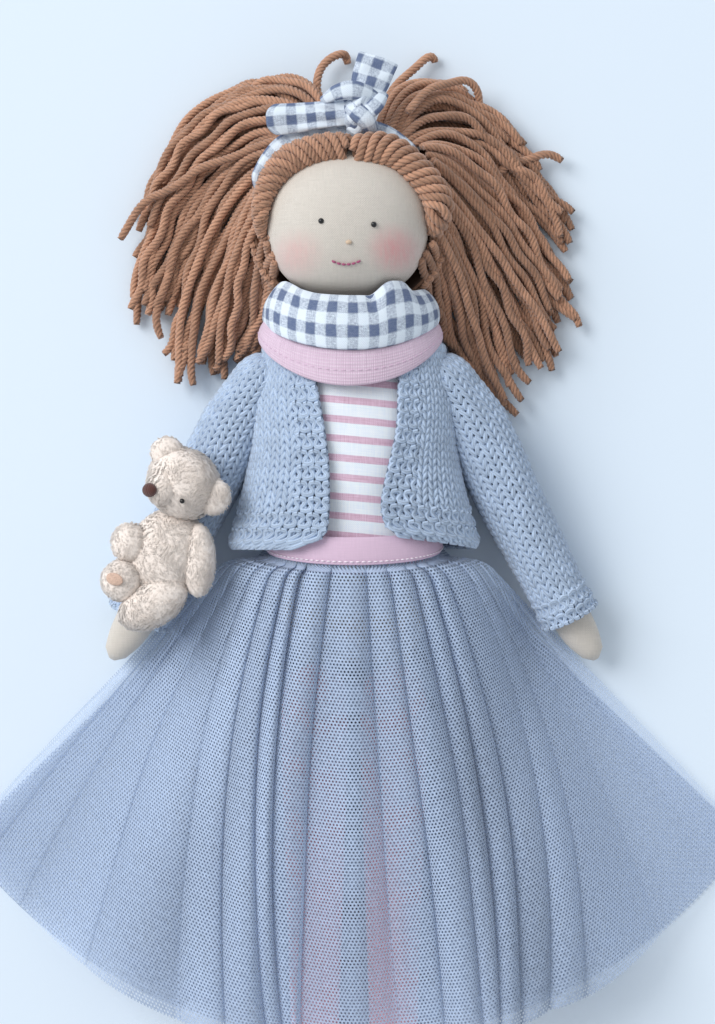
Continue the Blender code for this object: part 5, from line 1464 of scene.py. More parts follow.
class DOLL_OT_cardigan(bpy.types.Operator):
    """Knitted cardigan: back, two fronts and two sleeves, stitch by stitch"""

    bl_idname = "doll.cardigan"
    bl_label = "Cardigan"

    def execute(self, context):
        self.settings = context.scene.doll_clothes
        colour = colour_of(self.settings.knit)
        self.yarn = yarn_finish("cardigan_yarn", colour, 3.0, 0.00012, 0.16, 0.30)
        # Painted shade: a dark copy of the knit's colour for the cloth behind the stitches.
        self.ground = plain_finish("cardigan_shade_backing", darker(colour, 0.46))
        self.back()
        for side, label in SIDES:
            self.front(side, label)
            self.sleeve(side, label)
        return {"FINISHED"}

    def make(self, panel, body, node, flat, closed=False, flip=False):
        cloth = panel.cloth(self.ground, closed, flip)
        stitches = panel.knit(self.settings.stitch_width * KNIT_YARN_SHARE, self.yarn)
        keep(cloth, body, "cardigan_knit", node)
        keep(stitches, body, "cardigan_knit")

    def clear_of_sleeves(self, paths):
        """Whether a stitch's middle lies outside both sleeves."""
        middle = paths.mean(axis=2)
        clear = np.ones(middle.shape[:2], bool)
        for side, _label in SIDES:
            start, along, _across, _out = arm_frame(side)
            reach = np.clip((middle - start) @ along, 0, None)
            away = np.linalg.norm(middle - start - along * reach[..., None], axis=-1)
            clear &= away > SLEEVE_RADIUS * 0.90
        return clear

    def rows(self, height):
        return int(round(height / self.settings.stitch_height))

    def back(self):
        def place(u, v, off):
            low = CARDIGAN_HEM + SEAM_RISE * (1 - np.minimum(1, np.minimum(u, 1 - u) / 0.08)) ** 2
            y = low + (CARDIGAN_NECK - low) * v
            return cardigan_point(y, math.pi + math.pi * u, CARDIGAN_AWAY + off)

        def garter(u, v):
            return smoothstep(0.19, 0.15, v)

        rows = self.rows(CARDIGAN_NECK - CARDIGAN_HEM)
        panel = Panel("cardigan_back", 22, rows, place, garter, self.clear_of_sleeves)
        self.make(panel, "torso", "cardigan_back", (0.100, 0.081), flip=True)

    def front(self, side, label):
        heights, gaps = OPENING[side]

        def place(u, v, off):
            """u is 0 at the side seam and 1 at the opening."""
            low = CARDIGAN_HEM + HEM_RISE[side] * np.maximum(u, 0) ** 1.5
            low = low + SEAM_RISE * (1 - np.clip(u / 0.16, 0, 1)) ** 2
            y = low + (CARDIGAN_NECK - low) * v
            gap = curve_through(np.clip(y, heights[0], heights[-1]), heights, gaps)
            width = cardigan_point(y, 0.0, CARDIGAN_AWAY)[..., 0]
            end = np.arccos(np.clip(gap / width, 0, 0.98))
            angle = np.clip(u, -0.05, 1.05) * end
            curl = 0.0007 * smoothstep(0.86, 1.0, u)
            points = cardigan_point(y, angle, CARDIGAN_AWAY + off + curl)
            return points * np.array((side, 1, 1))

        def garter(u, v):
            return np.maximum(smoothstep(0.19, 0.15, v), smoothstep(0.72, 0.78, u))

        rows = self.rows(CARDIGAN_NECK - CARDIGAN_HEM)
        panel = Panel(f"cardigan_{label}_front", 10, rows, place, garter, self.clear_of_sleeves)
        self.make(panel, "torso", f"cardigan_{label}_front", (0.040, 0.081), flip=side > 0)

    def sleeve(self, side, label):
        start, along, across, out = arm_frame(side)
        length = SLEEVE_LENGTH + SLEEVE_ABOVE_SHOULDER

        def place(u, v, off):
            """u goes round the arm from its underside, v from the shoulder's dome to the cuff."""
            s = length * v - SLEEVE_ABOVE_SHOULDER
            share = np.clip(s / SLEEVE_LENGTH, 0, 1)
            radius = SLEEVE_RADIUS * curve_through(share, SLEEVE_STATION_SHARES, SLEEVE_RADIUS_SHARES)
            dome = (1.14 - (np.maximum(-s, 0) / SLEEVE_ABOVE_SHOULDER) ** 2.5) ** 0.4
            angle = -math.pi / 2 + math.tau * u * side
            outer = np.clip(np.cos(angle) * side, 0, 1)
            lean = -side * SLEEVE_TOP_LEAN * smoothstep(0.20, -0.10, s / SLEEVE_LENGTH)
            reach = (radius + 0.0006 * ripple(np.cos(angle), share * 3, 0.8, 40 + side)) * (1 - 0.07 * outer)
            reach = reach * dome + off
            return (
                start
                + along * s[..., None]
                + across * (reach * np.cos(angle) + lean)[..., None]
                + out * (reach * np.sin(angle))[..., None]
            )

        def garter(u, v):
            return smoothstep(0.905, 0.935, v)

        panel = Panel(f"{label}_sleeve", 17, self.rows(length), place, garter)
        flat = (math.tau * SLEEVE_RADIUS, length)
        self.make(panel, f"{label}_arm", f"{label}_sleeve", flat, True, flip=side < 0)


COWL_SHIFT = -0.0015
LINING_EDGES = (((0.0365, 0.0262, 0.0180, 0.0195), 0.0860), ((0.0300, 0.0205, 0.0150, 0.0040), 0.0965))
GINGHAM_EDGES = (((0.0342, 0.0275, 0.0174, 0.0118), 0.0923), ((0.0292, 0.0225, 0.0165, 0.0040), 0.1065))
LINING_BULGE = 0.0012
GINGHAM_BULGE = 0.0018
GATHER_ANGLE = 0.93
GATHER_HALF_ANGLE = 0.26
CORNER_ANGLE = 2.62
CORNER_HALF_ANGLE = 0.34
GATHER_RISE = 0.0046
BAND_MIDDLE = 0.0075
BAND_SAG = 0.0057
BAND_HALF_HEIGHT = 0.0055
WAIST_STITCHES_SHARE = -0.76
COWL_STITCHES_SHARE = -0.62


def loop_edge(edge, height, angle, gather=0.0):
    """Points on one edge of a cowl loop, from (half width, front, back, front sag)."""
    half_width, front, back, sag = edge
    rise = np.sin(angle)
    drawn = hump(angle, GATHER_ANGLE, GATHER_HALF_ANGLE, 4)
    drawn = drawn + 0.80 * hump(angle, CORNER_ANGLE, CORNER_HALF_ANGLE)
    y = WAIST_Y + height - sag * np.maximum(0, rise) ** 1.4 + gather * drawn
    z = TORSO_MIDDLE + np.where(rise > 0, front, back) * rise
    return np.stack([COWL_SHIFT + half_width * np.cos(angle), y, z], axis=-1)


def cowl_point(edges, angle, around, bulge, folds, gather=0.0):
    """Points of a loop of cloth folded over: its section is a flat oval between its two edges.

    The section's middle line bows outward by the bulge, and the folds, a share across and
    round the loop, move the front of the section off it.
    """
    low, high = (loop_edge(*edge, angle, rise) for edge, rise in zip(edges, (0.0, gather)))
    middle, long = (low + high) / 2, (high - low) / 2
    out = unit((middle - np.array((COWL_SHIFT, 0, TORSO_MIDDLE))) * np.array((1, 0, 1)))
    way = unit(long)
    thick = unit(out - way * (out * way).sum(axis=-1, keepdims=True))
    up, front = np.sin(around), np.cos(around)
    rise = bulge * (1 - up**2) + 0.0014 * signed_power(front, 0.7)
    rise = rise + folds(angle, up) * (front > -0.2)
    return middle + long * up[..., None] + thick * rise[..., None]


class DOLL_OT_cowl(bpy.types.Operator):
    """Cowl of two cloths and the waistband, with their topstitching"""

    bl_idname = "doll.cowl"
    bl_label = "Cowl and waistband"

    def execute(self, context):
        pink = colour_of(context.scene.doll_clothes.pink)
        self.pale_thread = plain_finish("pale_thread", (0.97, 0.86, 0.92), 0.8, 0.2)
        self.dark_thread = plain_finish("dull_thread", darker(pink, 0.90), 0.8, 0.2)
        angle = round_angles(200)[:, None]
        around = round_angles(64, math.pi)[None, :]
        grid = np.broadcast_arrays(angle, around)

        def lining_folds(a, up):
            return 0.0005 * ripple(np.cos(a) * 1.2, np.sin(a) * 1.2 + 0.2 * up, 0.8, 52)

        def gingham_folds(a, up):
            """Soft folds, one deep gather on the left of the throat and a small one on the right."""
            soft = 0.0008 * ripple(np.cos(a) * 1.1 + 0.25 * up, np.sin(a) * 1.1, 0.9, 57)
            gather = 0.0020 * hump(a, 1.05, 0.16) * smoothstep(0.1, 0.9, up)
            second = 0.0014 * hump(a, 2.20, 0.10) * smoothstep(0.3, 0.9, up)
            dent = -0.0012 * hump(a, 1.28, 0.09) * smoothstep(0.0, 0.9, up)
            return soft + gather + second + dent

        points = cowl_point(LINING_EDGES, *grid, LINING_BULGE, lining_folds)
        lining = surface("cowl_lining_cloth", points, linen_finish("pink_linen", pink), (True, True))
        keep(lining, "torso", "pink_linen", "cowl_lining_loop")
        points = cowl_point(GINGHAM_EDGES, *grid, GINGHAM_BULGE, gingham_folds, GATHER_RISE)
        gingham = surface("cowl_gingham_cloth", points, gingham_finish("cowl_gingham"), (True, True))
        keep(gingham, "torso", "gingham", "cowl_gingham_loop")
        self.cowl_stitches(lining_folds)
        self.waistband(pink)
        return {"FINISHED"}

    def cowl_stitches(self, folds):
        """A line of running stitches a little above the lining's lower edge."""
        count = 74
        start = round_angles(count)
        line = np.full(count, COWL_STITCHES_SHARE)
        stitch = math.tau / count * 0.62
        ends = [cowl_point(LINING_EDGES, start + step, line, LINING_BULGE, folds) for step in (0.0, stitch)]
        out = unit((ends[0] - np.array((COWL_SHIFT, 0, TORSO_MIDDLE))) * np.array((1, 0, 1)))
        stitches = small_stitches("cowl_topstitching", *ends, 0.00020, self.dark_thread, out)
        keep(stitches, "torso", "pink_linen")

    def band_point(self, angle, share, off):
        """The waistband's skin: share is -1 at its lower edge and 1 at its upper one."""
        y = BAND_MIDDLE - BAND_SAG * np.sin(angle) + BAND_HALF_HEIGHT * share
        return round_torso(y, angle, BAND_AWAY + off)

    def waistband(self, pink):
        """A closed flat section round the waist: share is its sine, thickness its cosine."""
        angle = round_angles(160)[:, None]
        around = round_angles(32)[None, :]
        sin, cos = np.sin(around), np.cos(around)
        share = signed_power(sin, 0.7)
        off = 0.0007 * signed_power(cos, 0.6) + 0.00035 * (1 - share**2)
        groove = -0.00022 * hump(share, WAIST_STITCHES_SHARE, 0.09) * (cos > 0)
        points = self.band_point(angle, share, off + groove)
        band = surface("waistband_cloth", points, cotton_finish("waistband_cotton", pink, 0.0006, 0.07),
                       (True, True), flip=True)
        keep(band, "torso", "waistband_cotton", "waistband")
        count = 96
        start = round_angles(count)
        line = np.full(count, WAIST_STITCHES_SHARE)
        ends = [self.band_point(start + step, line, 0.00075) for step in (0.0, math.tau / count * 0.66)]
        out = unit((ends[0] - np.array((0, 0, TORSO_MIDDLE))) * np.array((1, 0, 1)))
        stitches = small_stitches("waistband_topstitching", *ends, 0.00027, self.pale_thread, out)
        keep(stitches, "torso", "waistband_cotton")


SKIRT_RADIUS = 0.200
SKIRT_HALF_ANGLE = math.radians(54)
SKIRT_FRONT_HEIGHT = 0.0365
SKIRT_EDGE_HEIGHT = 0.0040
SKIRT_LEVEL_SHARE = 0.30
SKIRT_SLOPE_SHARE = 0.62
SKIRT_BRIM_POWER = 1.6
SKIRT_SIDE_BOW = 0.0172
SKIRT_BOW_POWER = 0.8
SKIRT_PUFF_SHARE = 0.009
SKIRT_TUCK_SHARE = 0.0015
SKIRT_BELOW_BAND = 0.0020
SKIRT_FOLDS = 6.5
SKIRT_FOLD_HALF_HEIGHT = 0.0025
SKIRT_LAYER_DROP = 0.0056
UNDERSKIRT_BELOW = 0.0014
UNDERSKIRT_BOW_SHARE = 0.86
UNDERSKIRT_REACH_SHARE = 0.95
HEM_UNEVEN_SHARE = 0.016

# Shares across at which the legs show through, and how far to each side; the net is painted paler there too
LEG_SHEER_AT = 0.075
LEG_SHEER_HALF = 0.075

# Where the outer pleats' edges lie across, at the waist and at the hem
PLEAT_WAIST_SHARES = (
    -1.0, -0.96, -0.91, -0.83, -0.70, -0.58, -0.47, -0.386, -0.192, 0.091,
    0.24, 0.405, 0.51, 0.623, 0.80, 0.88, 0.93, 0.965, 1.0,
)
PLEAT_HEM_SHARES = (
    -1.0, -0.93, -0.80, -0.607, -0.375, -0.276, -0.180, -0.148, -0.117, 0.107,
    0.20, 0.28, 0.315, 0.363, 0.425, 0.504, 0.70, 0.88, 1.0,
)


def skirt_side(across):
    """How high the skirt stands at a share across: 1 over the legs and 0 at the side edges."""
    flat = np.clip((np.abs(across) - SKIRT_LEVEL_SHARE) / SKIRT_SLOPE_SHARE, 0, 1)
    return np.cos(flat * math.pi / 2) ** SKIRT_BRIM_POWER


def skirt_fold(across, down):
    """Height of the skirt's broad folds, none at the side edges."""
    strength = SKIRT_FOLD_HALF_HEIGHT * down**0.7 * skirt_side(across)
    return strength * np.cos(math.pi * SKIRT_FOLDS * across + 0.9 * np.sin(5 * across))


def skirt_point(across, down, away, under=False):
    """A point of the skirt's front; across is -1 to 1 and down 0 at the waist to 1 at the hem.

    It starts on the torso's ellipse under the band and ends on an arc of the skirt's radius;
    its height passes from the first to the level over the legs, or down at the sides. Just
    below the band the sides puff out, by a share that nears 1 as an exponential does.
    """
    angle = math.pi / 2 * (1 - across)
    below = SKIRT_BELOW_BAND + (UNDERSKIRT_BELOW if under else 0.0)
    tuck = (BAND_HALF_HEIGHT / 2 + below) * (1 - np.clip(down / SKIRT_TUCK_SHARE, 0, 1))
    edge = BAND_MIDDLE - BAND_SAG * np.sin(angle) - BAND_HALF_HEIGHT - below
    start = round_torso(edge + tuck, angle, away)
    spread = across * SKIRT_HALF_ANGLE
    puff = 1 - np.exp(-np.maximum(0.0, down - SKIRT_TUCK_SHARE) / SKIRT_PUFF_SHARE)
    bow = SKIRT_SIDE_BOW * (1 - down) ** SKIRT_BOW_POWER * puff * (UNDERSKIRT_BOW_SHARE if under else 1.0)
    x = start[..., 0] + (SKIRT_RADIUS * np.sin(spread) - start[..., 0]) * down + across * np.abs(across) * bow
    y = start[..., 1] + (WAIST_Y - SKIRT_RADIUS * np.cos(spread) - start[..., 1]) * down
    side = skirt_side(across)
    height = SKIRT_EDGE_HEIGHT + (SKIRT_FRONT_HEIGHT - SKIRT_EDGE_HEIGHT) * side
    if under:
        height = height - SKIRT_LAYER_DROP * (0.4 + 0.6 * side)
    settle = np.minimum(1.0, down * (1 + 3.2 * np.abs(across) ** 2))
    ease = settle * settle * (3 - 2 * settle)
    z = start[..., 2] + (height - start[..., 2]) * ease + (0.0 if under else skirt_fold(across, down))
    return stacked(x, y, z)


class DOLL_OT_skirt(bpy.types.Operator):
    """Gathered net skirt in three layers"""

    bl_idname = "doll.skirt"
    bl_label = "Skirt"

    def execute(self, context):
        settings = context.scene.doll_skirt
        colour = colour_of(settings.colour)
        net = net_finish("skirt_net", colour, settings.mesh, 0.16, 0.42)
        # Painted shade: the under layer and the back on the floor take a darker copy of the net.
        deep = net_finish("skirt_net_under_shaded", darker(colour, 0.90), settings.mesh, 0.26, 0.48)
        even = np.linspace(-1, 1, 16)
        uneven = np.sin(math.pi / 2 * even) + 0.02 * np.sin(9 * even) * (1 - even**2)
        pleats = (PLEAT_WAIST_SHARES, PLEAT_HEM_SHARES)
        outer = self.layer("skirt_outer_net", net, pleats, 1.26, settings.depth, 61)
        under = self.layer("skirt_under_net", deep, (uneven, even), 1.05, 0.0012, 63, True)
        for piece, node in ((outer, "skirt_front_outer"), (under, "skirt_front_under")):
            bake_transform(piece)
            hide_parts(node)
        self.back(deep)
        return {"FINISHED"}

    def layer(self, name, net, edges, fold, depth, seed, under=False):
        """A gathered layer with a pleat between each two of the edges listed.

        A number runs across the cloth and is whole at each edge. The place across is the
        line through the edges' places, minus the pleat's width times a fold times a sine of
        that number; where the fold is over 1 the cloth doubles back at an edge. The pleat
        stands up by one minus a cosine, leaning to one side by a sine.
        """
        last = len(edges[0]) - 1
        number = np.linspace(0, last, 40 * last + 1)[None, :]
        down = (np.linspace(0, 1, 96) ** 1.5)[:, None]
        middles = np.arange(last) + 0.5
        places = [np.interp(number, np.arange(last + 1), shares) for shares in edges]
        widths = [np.interp(number, middles, np.diff(shares)) for shares in edges]
        place = places[0] + (places[1] - places[0]) * down
        width = widths[0] + (widths[1] - widths[0]) * down
        hold = smoothstep(0.0, 0.8, np.minimum(number, last - number))
        turn = math.tau * (number + 0.07 * ripple(number * 0.45, down * 1.6, 1.0, seed) * hold)
        doubled = fold * (1 - 0.30 * smoothstep(0.35, 1.0, down)) * hold
        across = place - width * doubled * np.sin(turn) / math.tau
        reach = UNDERSKIRT_REACH_SHARE if under else 1.0
        away = NET_AWAY if under else NET_AWAY + NET_LAYER_GAP
        uneven = HEM_UNEVEN_SHARE * (0.5 + 0.5 * ripple(number * 0.55, 0.0 * number, 1.0, seed + 8)) * down**2
        hem = np.minimum(down * (reach - uneven), 1)
        points = skirt_point(np.clip(across, -1, 1) * reach, hem, away, under)
        tall = 0.5 + 0.5 * ripple(number * 0.37, 0.0 * number, 1.0, seed + 4)
        strength = depth * (0.75 + 0.5 * tall) * smoothstep(0.0, 0.005, down) * (1 - 0.35 * down)
        strength = strength * (0.25 + 0.75 * skirt_side(across)) * hold * np.minimum(1.0, width / 0.06)
        lean = 0.25 + 0.45 * ripple(number * 0.21, 0.0 * number, 1.0, seed + 5)
        points[..., 2] += strength * (0.5 - 0.5 * np.cos(turn) - lean * np.sin(turn) * 0.6)
        points[..., 2] += 0.0010 * ripple(across * 2.2, down * 1.5, 1.0, seed + 3) * down * skirt_side(across)
        steps = np.linalg.norm(np.diff(points, axis=1), axis=-1)
        u = np.concatenate([np.zeros((len(points), 1)), np.cumsum(steps, axis=1)], axis=1)
        u = u - u[:, u.shape[1] // 2][:, None] + 0.0006 * ripple(number * 0.8, down * 6, 1.0, seed + 6)
        v = SKIRT_RADIUS * 0.95 * down
        uv = stacked(u, v)[None]
        piece = surface(name, points, net, uv=uv, flip=True)
        # Painted light and shade in the fold number: one face at each pleat's edge paler, partly the denser
        # net seen edge-on and partly painted highlight; painted shade in the pleats' hollows.
        edge = hump(np.abs(turn / math.tau - np.round(turn / math.tau)), 0.0, 0.10)
        valley_shade = 0.5 + 0.5 * np.cos(turn)
        shade = 0.34 * edge * (np.sin(turn) < 0) - 0.42 * valley_shade * (np.sin(turn) > 0)
        tone = 0.55 + hold * (1 - 0.45 * down) * shade + 0.10 * ripple(number * 0.7, down * 2, 1.0, seed + 7)
        # Painted light over the legs and at the sheer sides; painted shade right of the middle and, less,
        # left of it.
        legs = hump(np.abs(across), LEG_SHEER_AT, LEG_SHEER_HALF, 4) * smoothstep(0.30, 0.75, down)
        sides = smoothstep(0.45, 0.85, np.abs(across)) * smoothstep(0.15, 0.60, down)
        painted_shade = 0.34 * hump(across, 0.42, 0.14) + 0.14 * hump(across, -0.45, 0.12)
        clear = sides * (1 + 0.20 * smoothstep(0.4, 0.8, across))
        tone = tone + 0.34 * sides + 0.16 * legs - painted_shade * smoothstep(0.1, 0.5, down)
        self.mark(piece, "fold", tone)
        self.mark(piece, "sheer", legs * (0.62 if under else 0.26) + clear * (0.77 if under else 0.45))
        return piece

    def mark(self, piece, name, values):
        """Keeps a number on each point of a piece for its material."""
        made = piece.data.attributes.new(name, "FLOAT", "POINT")
        made.data.foreach_set("value", np.asarray(values, np.float32).ravel())

    def back(self, net):
        """The flat layer on the floor: rows pass from the waist's width to the hem's arc."""
        across = np.linspace(-1, 1, 121)[None, :]
        down = np.linspace(0, 1, 60)[:, None]
        spread = across * SKIRT_HALF_ANGLE
        x = TORSO_HALF_WIDTH * across * (1 - down) + SKIRT_RADIUS * np.sin(spread) * down
        y = WAIST_Y + 0.0075 * (1 - down) - SKIRT_RADIUS * np.cos(spread) * down
        z = 0.0004 + 0.0006 * (0.5 + 0.5 * ripple(across * 3, down * 2, 1.0, 66)) * smoothstep(0, 0.1, down)
        points = stacked(x, y, z)
        back = surface("skirt_back_net", points, net, flip=True)
        self.mark(back, "fold", np.full(x.shape, 0.5))
        self.mark(back, "sheer", np.zeros(x.shape))
        keep(back, "torso", "skirt_net", "skirt_back")


BEAR_ALONG = 0.077
BEAR_HALF = np.array((0.0145, 0.0190, 0.0120))
BEAR_HEAD_RADIUS = 0.0150
BEAR_LIMB = 0.0062
BEAR_HEAD_SHARES = np.array((1.02, 0.94, 0.88))
BEAR_HEAD_TURN = -45
BEAR_MUZZLE_RADIUS = 0.0074
BEAR_FOOT = (-1.14, -0.52, 0.45)
TUFT_HALF_WIDTH = 0.00024
TUFT_STATIONS = np.array((0.0, 0.45, 0.80, 1.0))
TUFT_RISE = 0.34
TUFT_LEAN = 0.85


class DOLL_OT_bear(bpy.types.Operator):
    """Small plush bear with short pile, a stitched nose and bead eyes"""

    bl_idname = "doll.bear"
    bl_label = "Bear"

    def execute(self, context):
        self.settings = context.scene.doll_bear
        colour = colour_of(self.settings.colour)
        self.plush = plush_finish("bear_plush", colour)
        self.under = plain_finish("bear_ground_cloth", darker(colour, 0.97), 0.95, 0.4, spread=0.10,
                                  scale=1300.0, depth=0.0003)
        start, along, _across, _out = arm_frame(-1)
        self.body_at = start + along * BEAR_ALONG + UP * (0.0120 + BEAR_HALF[2] * 0.85)
        head_at = self.from_body(0.54, 1.50, 0.42)
        on_head = lambda *shares: head_at + np.array(shares) * BEAR_HEAD_RADIUS
        self.head_ways = turned(BEAR_HEAD_TURN) * (BEAR_HEAD_SHARES * BEAR_HEAD_RADIUS)[:, None]
        muzzle_at = on_head(-0.46, -0.15, 0.42)
        body = turned(-27) * (BEAR_HALF * (1.08, 1.04, 1.0))[:, None]
        ear = np.diag((0.0068, 0.0068, 0.0045))
        limb = BEAR_LIMB * 1.14
        self.part("bear_body", [(self.body_at, body)], 71)
        self.part("bear_head", [(head_at, self.head_ways), (muzzle_at, np.eye(3) * BEAR_MUZZLE_RADIUS)], 72)
        self.part("bear_right_ear", [(on_head(-0.42, 0.80, 0.18), ear)], 73)
        self.part("bear_left_ear", [(on_head(0.78, -0.34, 0.22), ear * (1.12, 1.12, 1.0))], 74)
        for name, place, half, turn, seed in (
            ("bear_left_arm", (0.94, -0.10, 0.32), (1.0, 2.1, 1.0), 0, 75),
            ("bear_right_arm", (-0.92, 0.26, 0.36), (1.1, 1.2, 1.0), 0, 76),
            ("bear_right_leg", BEAR_FOOT, (1.20, 1.22, 1.10), 0, 77),
            ("bear_left_leg", (-0.30, -1.00, 0.42), (2.1, 1.35, 1.2), 30, 78),
        ):
            self.part(name, [(self.from_body(*place), turned(turn) * (np.array(half) * limb)[:, None])], seed)
        self.nose(muzzle_at)
        self.eyes(head_at)
        self.foot_pad(self.from_body(*BEAR_FOOT), limb)
        return {"FINISHED"}

    def from_body(self, right, up, out):
        """A place at shares of the body's half sizes from its middle."""
        return self.body_at + np.array((right, up, out)) * BEAR_HALF

    def part(self, name, forms, seed):
        """A stuffed form with pile: tapered tufts set over it, each leaning its own way.

        A tuft stands on a place of the stretched ball, points along the ball's slope plus a
        lean, and bends by the square of the share along it. Tufts inside another form go.
        """
        chance = np.random.default_rng(SEED + seed)
        pile = self.settings.pile
        bases, tufts, shades, slopes = [], [], [], []
        for k, (centre, ways) in enumerate(forms):
            inner = ways * (1 - pile * 0.30 / np.linalg.norm(ways, axis=1))[:, None]
            bases.append(blob(f"{name}_base_{k}", centre, inner, self.under, 0.03, seed + k, 24, 32))
            half = np.linalg.norm(inner, axis=1)
            area = 4 * math.pi * (np.mean([half[0] * half[1], half[0] * half[2], half[1] * half[2]]))
            count = int(area * 1e4 * self.settings.blades)
            way = unit(chance.normal(0, 1, (count, 3)))
            root = centre + way @ inner
            slope = unit(way @ (inner / (half**2)[:, None]))
            keep_tuft = np.ones(count, bool)
            for other, (spot, others) in enumerate(forms):
                if other != k:
                    local = (root - spot) @ np.linalg.inv(others)
                    keep_tuft &= np.linalg.norm(local, axis=1) > 0.93
            keep_tuft &= root[:, 2] > 0.004
            root, slope = root[keep_tuft], slope[keep_tuft]
            turns = (ripple(root[:, 0] * 90, root[:, 1] * 90, 1.0, seed + 5 + axis) for axis in range(3))
            swirl = stacked(*turns)
            lean = swirl * 1.1 + chance.normal(0, 0.35, root.shape) + np.array((-0.15, -0.55, 0.0))
            lean = lean - slope * (lean * slope).sum(axis=1, keepdims=True)
            long = pile * chance.uniform(0.6, 1.25, len(root))
            t = TUFT_STATIONS
            paths = (
                root[:, None]
                + slope[:, None] * (long[:, None] * t)[..., None] * TUFT_RISE
                + lean[:, None] * (long[:, None] * t**1.2)[..., None] * TUFT_LEAN
            )
            tufts.append(paths)
            slopes.append(unit(slope + lean * 0.15))
            shades.append(chance.uniform(0, 1, len(root)))
        paths, shade = np.concatenate(tufts), np.concatenate(shades)
        wide = TUFT_HALF_WIDTH * np.array((1.0, 0.95, 0.62, 0.12))
        tubes = swept(paths, wide[None], np.ones(3), UP)
        uv = stacked((np.arange(4) / 3)[None, :], TUFT_STATIONS[:, None])[None]
        fur = surface(f"{name}_pile", tubes, self.plush, (False, True), False, uv, shade)
        slopes = np.repeat(np.concatenate(slopes), tubes.shape[1] * tubes.shape[2], axis=0)
        fur.data.normals_split_custom_set_from_vertices(slopes)
        base = joined(f"{name}_stuffed", *bases) if len(bases) > 1 else bases[0]
        base.name = base.data.name = f"{name}_stuffed"
        keep(base, "right_arm", "bear_plush", name)
        keep(fur, "right_arm", "bear_plush")

    def nose(self, muzzle_at):
        """An oval nose in satin stitch: ridges of thread run across a flat ball."""
        thread = yarn_finish("bear_nose_thread", (0.120, 0.042, 0.034), 2.0, 0.0002, 0.25, 0.3)
        way = unit(np.array((-0.62, -0.05, 0.62)))
        at = muzzle_at + way * 0.0078
        across = unit(np.cross(UP, way))
        up = np.cross(way, across)
        polar, angle = ball_angles(0.06, 40, 28)
        ridge = 1 + 0.05 * np.cos(polar * 22)
        shape = [np.cos(polar) * np.ones_like(angle), np.sin(polar) * np.cos(angle) * ridge,
                 np.sin(polar) * np.sin(angle) * ridge]
        halves = (up * 0.0036, across * 0.0027, way * 0.0022)
        points = at + sum(part[..., None] * half for part, half in zip(shape, halves))
        nose = surface("bear_nose_stitched", points, thread, (False, True), True, strand=np.array((0.5,)))
        keep(nose, "right_arm", "bear_nose_thread", "bear_nose")

    def foot_pad(self, at, limb):
        """A small pad of tan cloth on the foot that faces up."""
        cloth = plain_finish("bear_pad_cloth", (0.66, 0.46, 0.36), spread=0.2, scale=1500.0, depth=0.0004)
        way = unit(np.array((-0.28, 0.10, 1.0)))
        side = unit(np.cross(UP, way))
        ways = np.stack([side * 0.0024, np.cross(way, side) * 0.0036, way * 0.0009])
        pad = blob("bear_foot_pad", at + way * (limb * 1.12), ways, cloth, 0.05, 91, 16, 28)
        keep(pad, "right_arm", "bear_plush")

    def eyes(self, head_at):
        """Bead eyes, half sunk in the pile."""
        gloss = Finish("bear_eye_bead", 0.15, 0.0, specular=0.6)
        gloss.set(Base_Color=(0.01, 0.008, 0.008))
        ways = self.head_ways
        for label, way in (("left", (0.02, -0.45, 0.80)), ("right", (-0.60, 0.04, 0.74))):
            spot = unit(np.array(way) @ np.linalg.inv(ways)) @ ways
            out = unit(spot)
            bead = blob(
                f"bear_{label}_bead", head_at + spot + out * 0.0008, np.eye(3) * 0.0010, gloss.material,
                rows=14, columns=20,
            )
            keep(bead, "right_arm", "black_bead", f"bear_{label}_eye")


LAMP_PLACE = (-3.1, 2.0, 3.1)
LAMP_SIZE = 3.0
SKY_COLOUR = (0.90, 0.95, 1.0, 1.0)
FLOOR_HALF = 3
FLOOR_HEIGHT = -0.0002


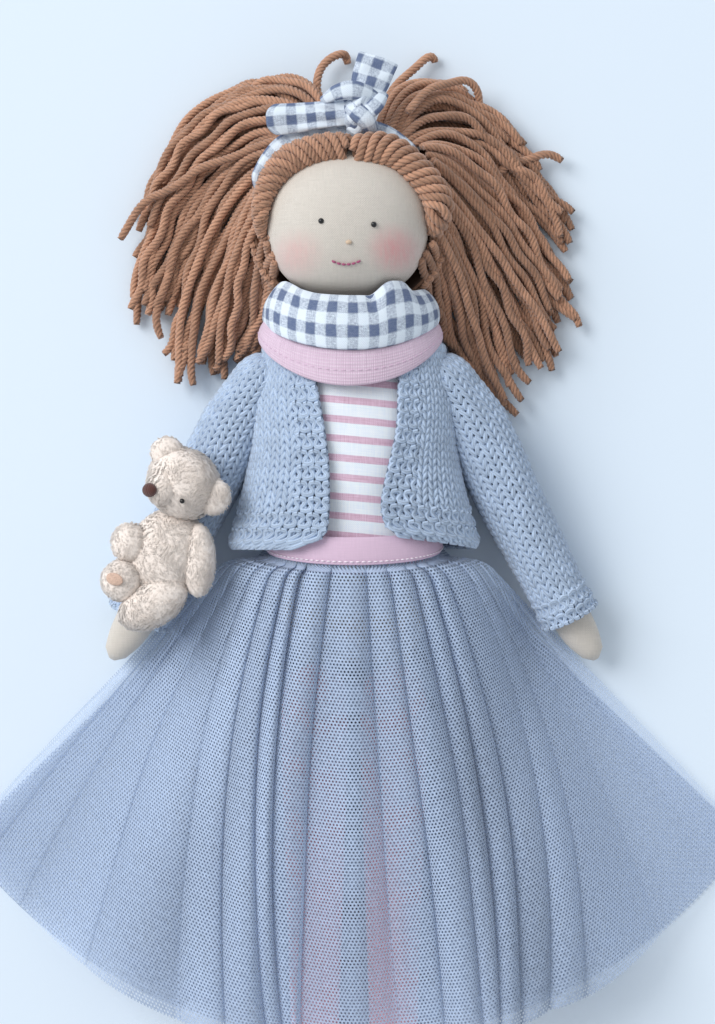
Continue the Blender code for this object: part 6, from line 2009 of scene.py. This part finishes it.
class DOLL_OT_stage(bpy.types.Operator):
    """Pale floor, soft studio light and the camera straight above"""

    bl_idname = "doll.stage"
    bl_label = "Stage"

    def execute(self, context):
        scene, settings = context.scene, context.scene.doll_stage
        self.floor(settings)
        self.lamp("large_lamp", LAMP_PLACE, LAMP_SIZE, settings.key)
        world = bpy.data.worlds.new("studio")
        world.use_nodes = True
        background = world.node_tree.nodes["Background"].inputs
        background["Color"].default_value = SKY_COLOUR
        background["Strength"].default_value = settings.fill
        scene.world = world
        camera_data = bpy.data.cameras.new("overhead_camera")
        camera_data.sensor_fit = "VERTICAL"
        camera_data.sensor_height = SENSOR_MM
        camera_data.lens = SENSOR_MM / (PHOTO_SIZE[1] * PIXEL_AT_ONE_METRE)
        camera_data.clip_start, camera_data.clip_end = 0.01, 20.0
        camera = bpy.data.objects.new("overhead_camera", camera_data)
        camera.location = CAMERA_PLACE
        scene.collection.objects.link(camera)
        scene.camera = camera
        scene.view_settings.view_transform = "Standard"
        return {"FINISHED"}

    def floor(self, settings):
        """One flat sheet, shown at nearly its own colour to the camera, with the shadow kept."""
        side = np.linspace(-FLOOR_HALF, FLOOR_HALF, 3)
        points = stacked(side[None, :], side[:, None], FLOOR_HEIGHT)
        finish = Finish("pale_floor", 0.8, 0.0, specular=0.2)
        patch = finish.noise(finish.point(), 6.0, 2.0)
        colour = colour_of(settings.floor)
        finish.set(Base_Color=finish.mix(patch, darker(colour, 0.99), darker(colour, 1.01)))
        floor = surface("studio_floor", points, finish.material)

    def lamp(self, name, place, size, strength):
        """A square lamp that points at the doll's middle."""
        data = bpy.data.lights.new(name, "AREA")
        data.shape = "SQUARE"
        data.size = size
        data.energy = strength
        lamp = bpy.data.objects.new(name, data)
        bpy.context.scene.collection.objects.link(lamp)
        turn = Vector(unit(-np.array(place))).to_track_quat("-Z", "Y").to_matrix().to_4x4()
        lamp.matrix_world = Matrix.Translation(place) @ turn


STEPS = ("stage", "body", "head", "hair", "headband", "top", "cardigan", "cowl", "skirt", "bear")


class DOLL_PT_sidebar(bpy.types.Panel):
    """The doll's pieces, one button each"""

    bl_label = "Rag Doll"
    bl_idname = "DOLL_PT_sidebar"
    bl_space_type = "VIEW_3D"
    bl_region_type = "UI"
    bl_category = "Rag Doll"

    def draw(self, context):
        for step in STEPS:
            self.layout.operator(f"doll.{step}")
        for group in SETTINGS:
            held = getattr(context.scene, group)
            for name in held.__annotations__:
                self.layout.prop(held, name)


SETTINGS = {
    "doll_hair": HairSettings,
    "doll_body": BodySettings,
    "doll_clothes": ClothesSettings,
    "doll_skirt": SkirtSettings,
    "doll_bear": BearSettings,
    "doll_stage": StageSettings,
}
CLASSES = (
    *SETTINGS.values(),
    DOLL_OT_stage,
    DOLL_OT_body,
    DOLL_OT_head,
    DOLL_OT_hair,
    DOLL_OT_headband,
    DOLL_OT_top,
    DOLL_OT_cardigan,
    DOLL_OT_cowl,
    DOLL_OT_skirt,
    DOLL_OT_bear,
    DOLL_PT_sidebar,
)


def register():
    for made in CLASSES:
        bpy.utils.register_class(made)
    for name, group in SETTINGS.items():
        setattr(bpy.types.Scene, name, PointerProperty(type=group))


def unregister():
    for name in SETTINGS:
        delattr(bpy.types.Scene, name)
    for made in reversed(CLASSES):
        bpy.utils.unregister_class(made)


def main():
    register()
    for step in STEPS:
        getattr(bpy.ops.doll, step)()


if __name__ == "__main__":
    main()
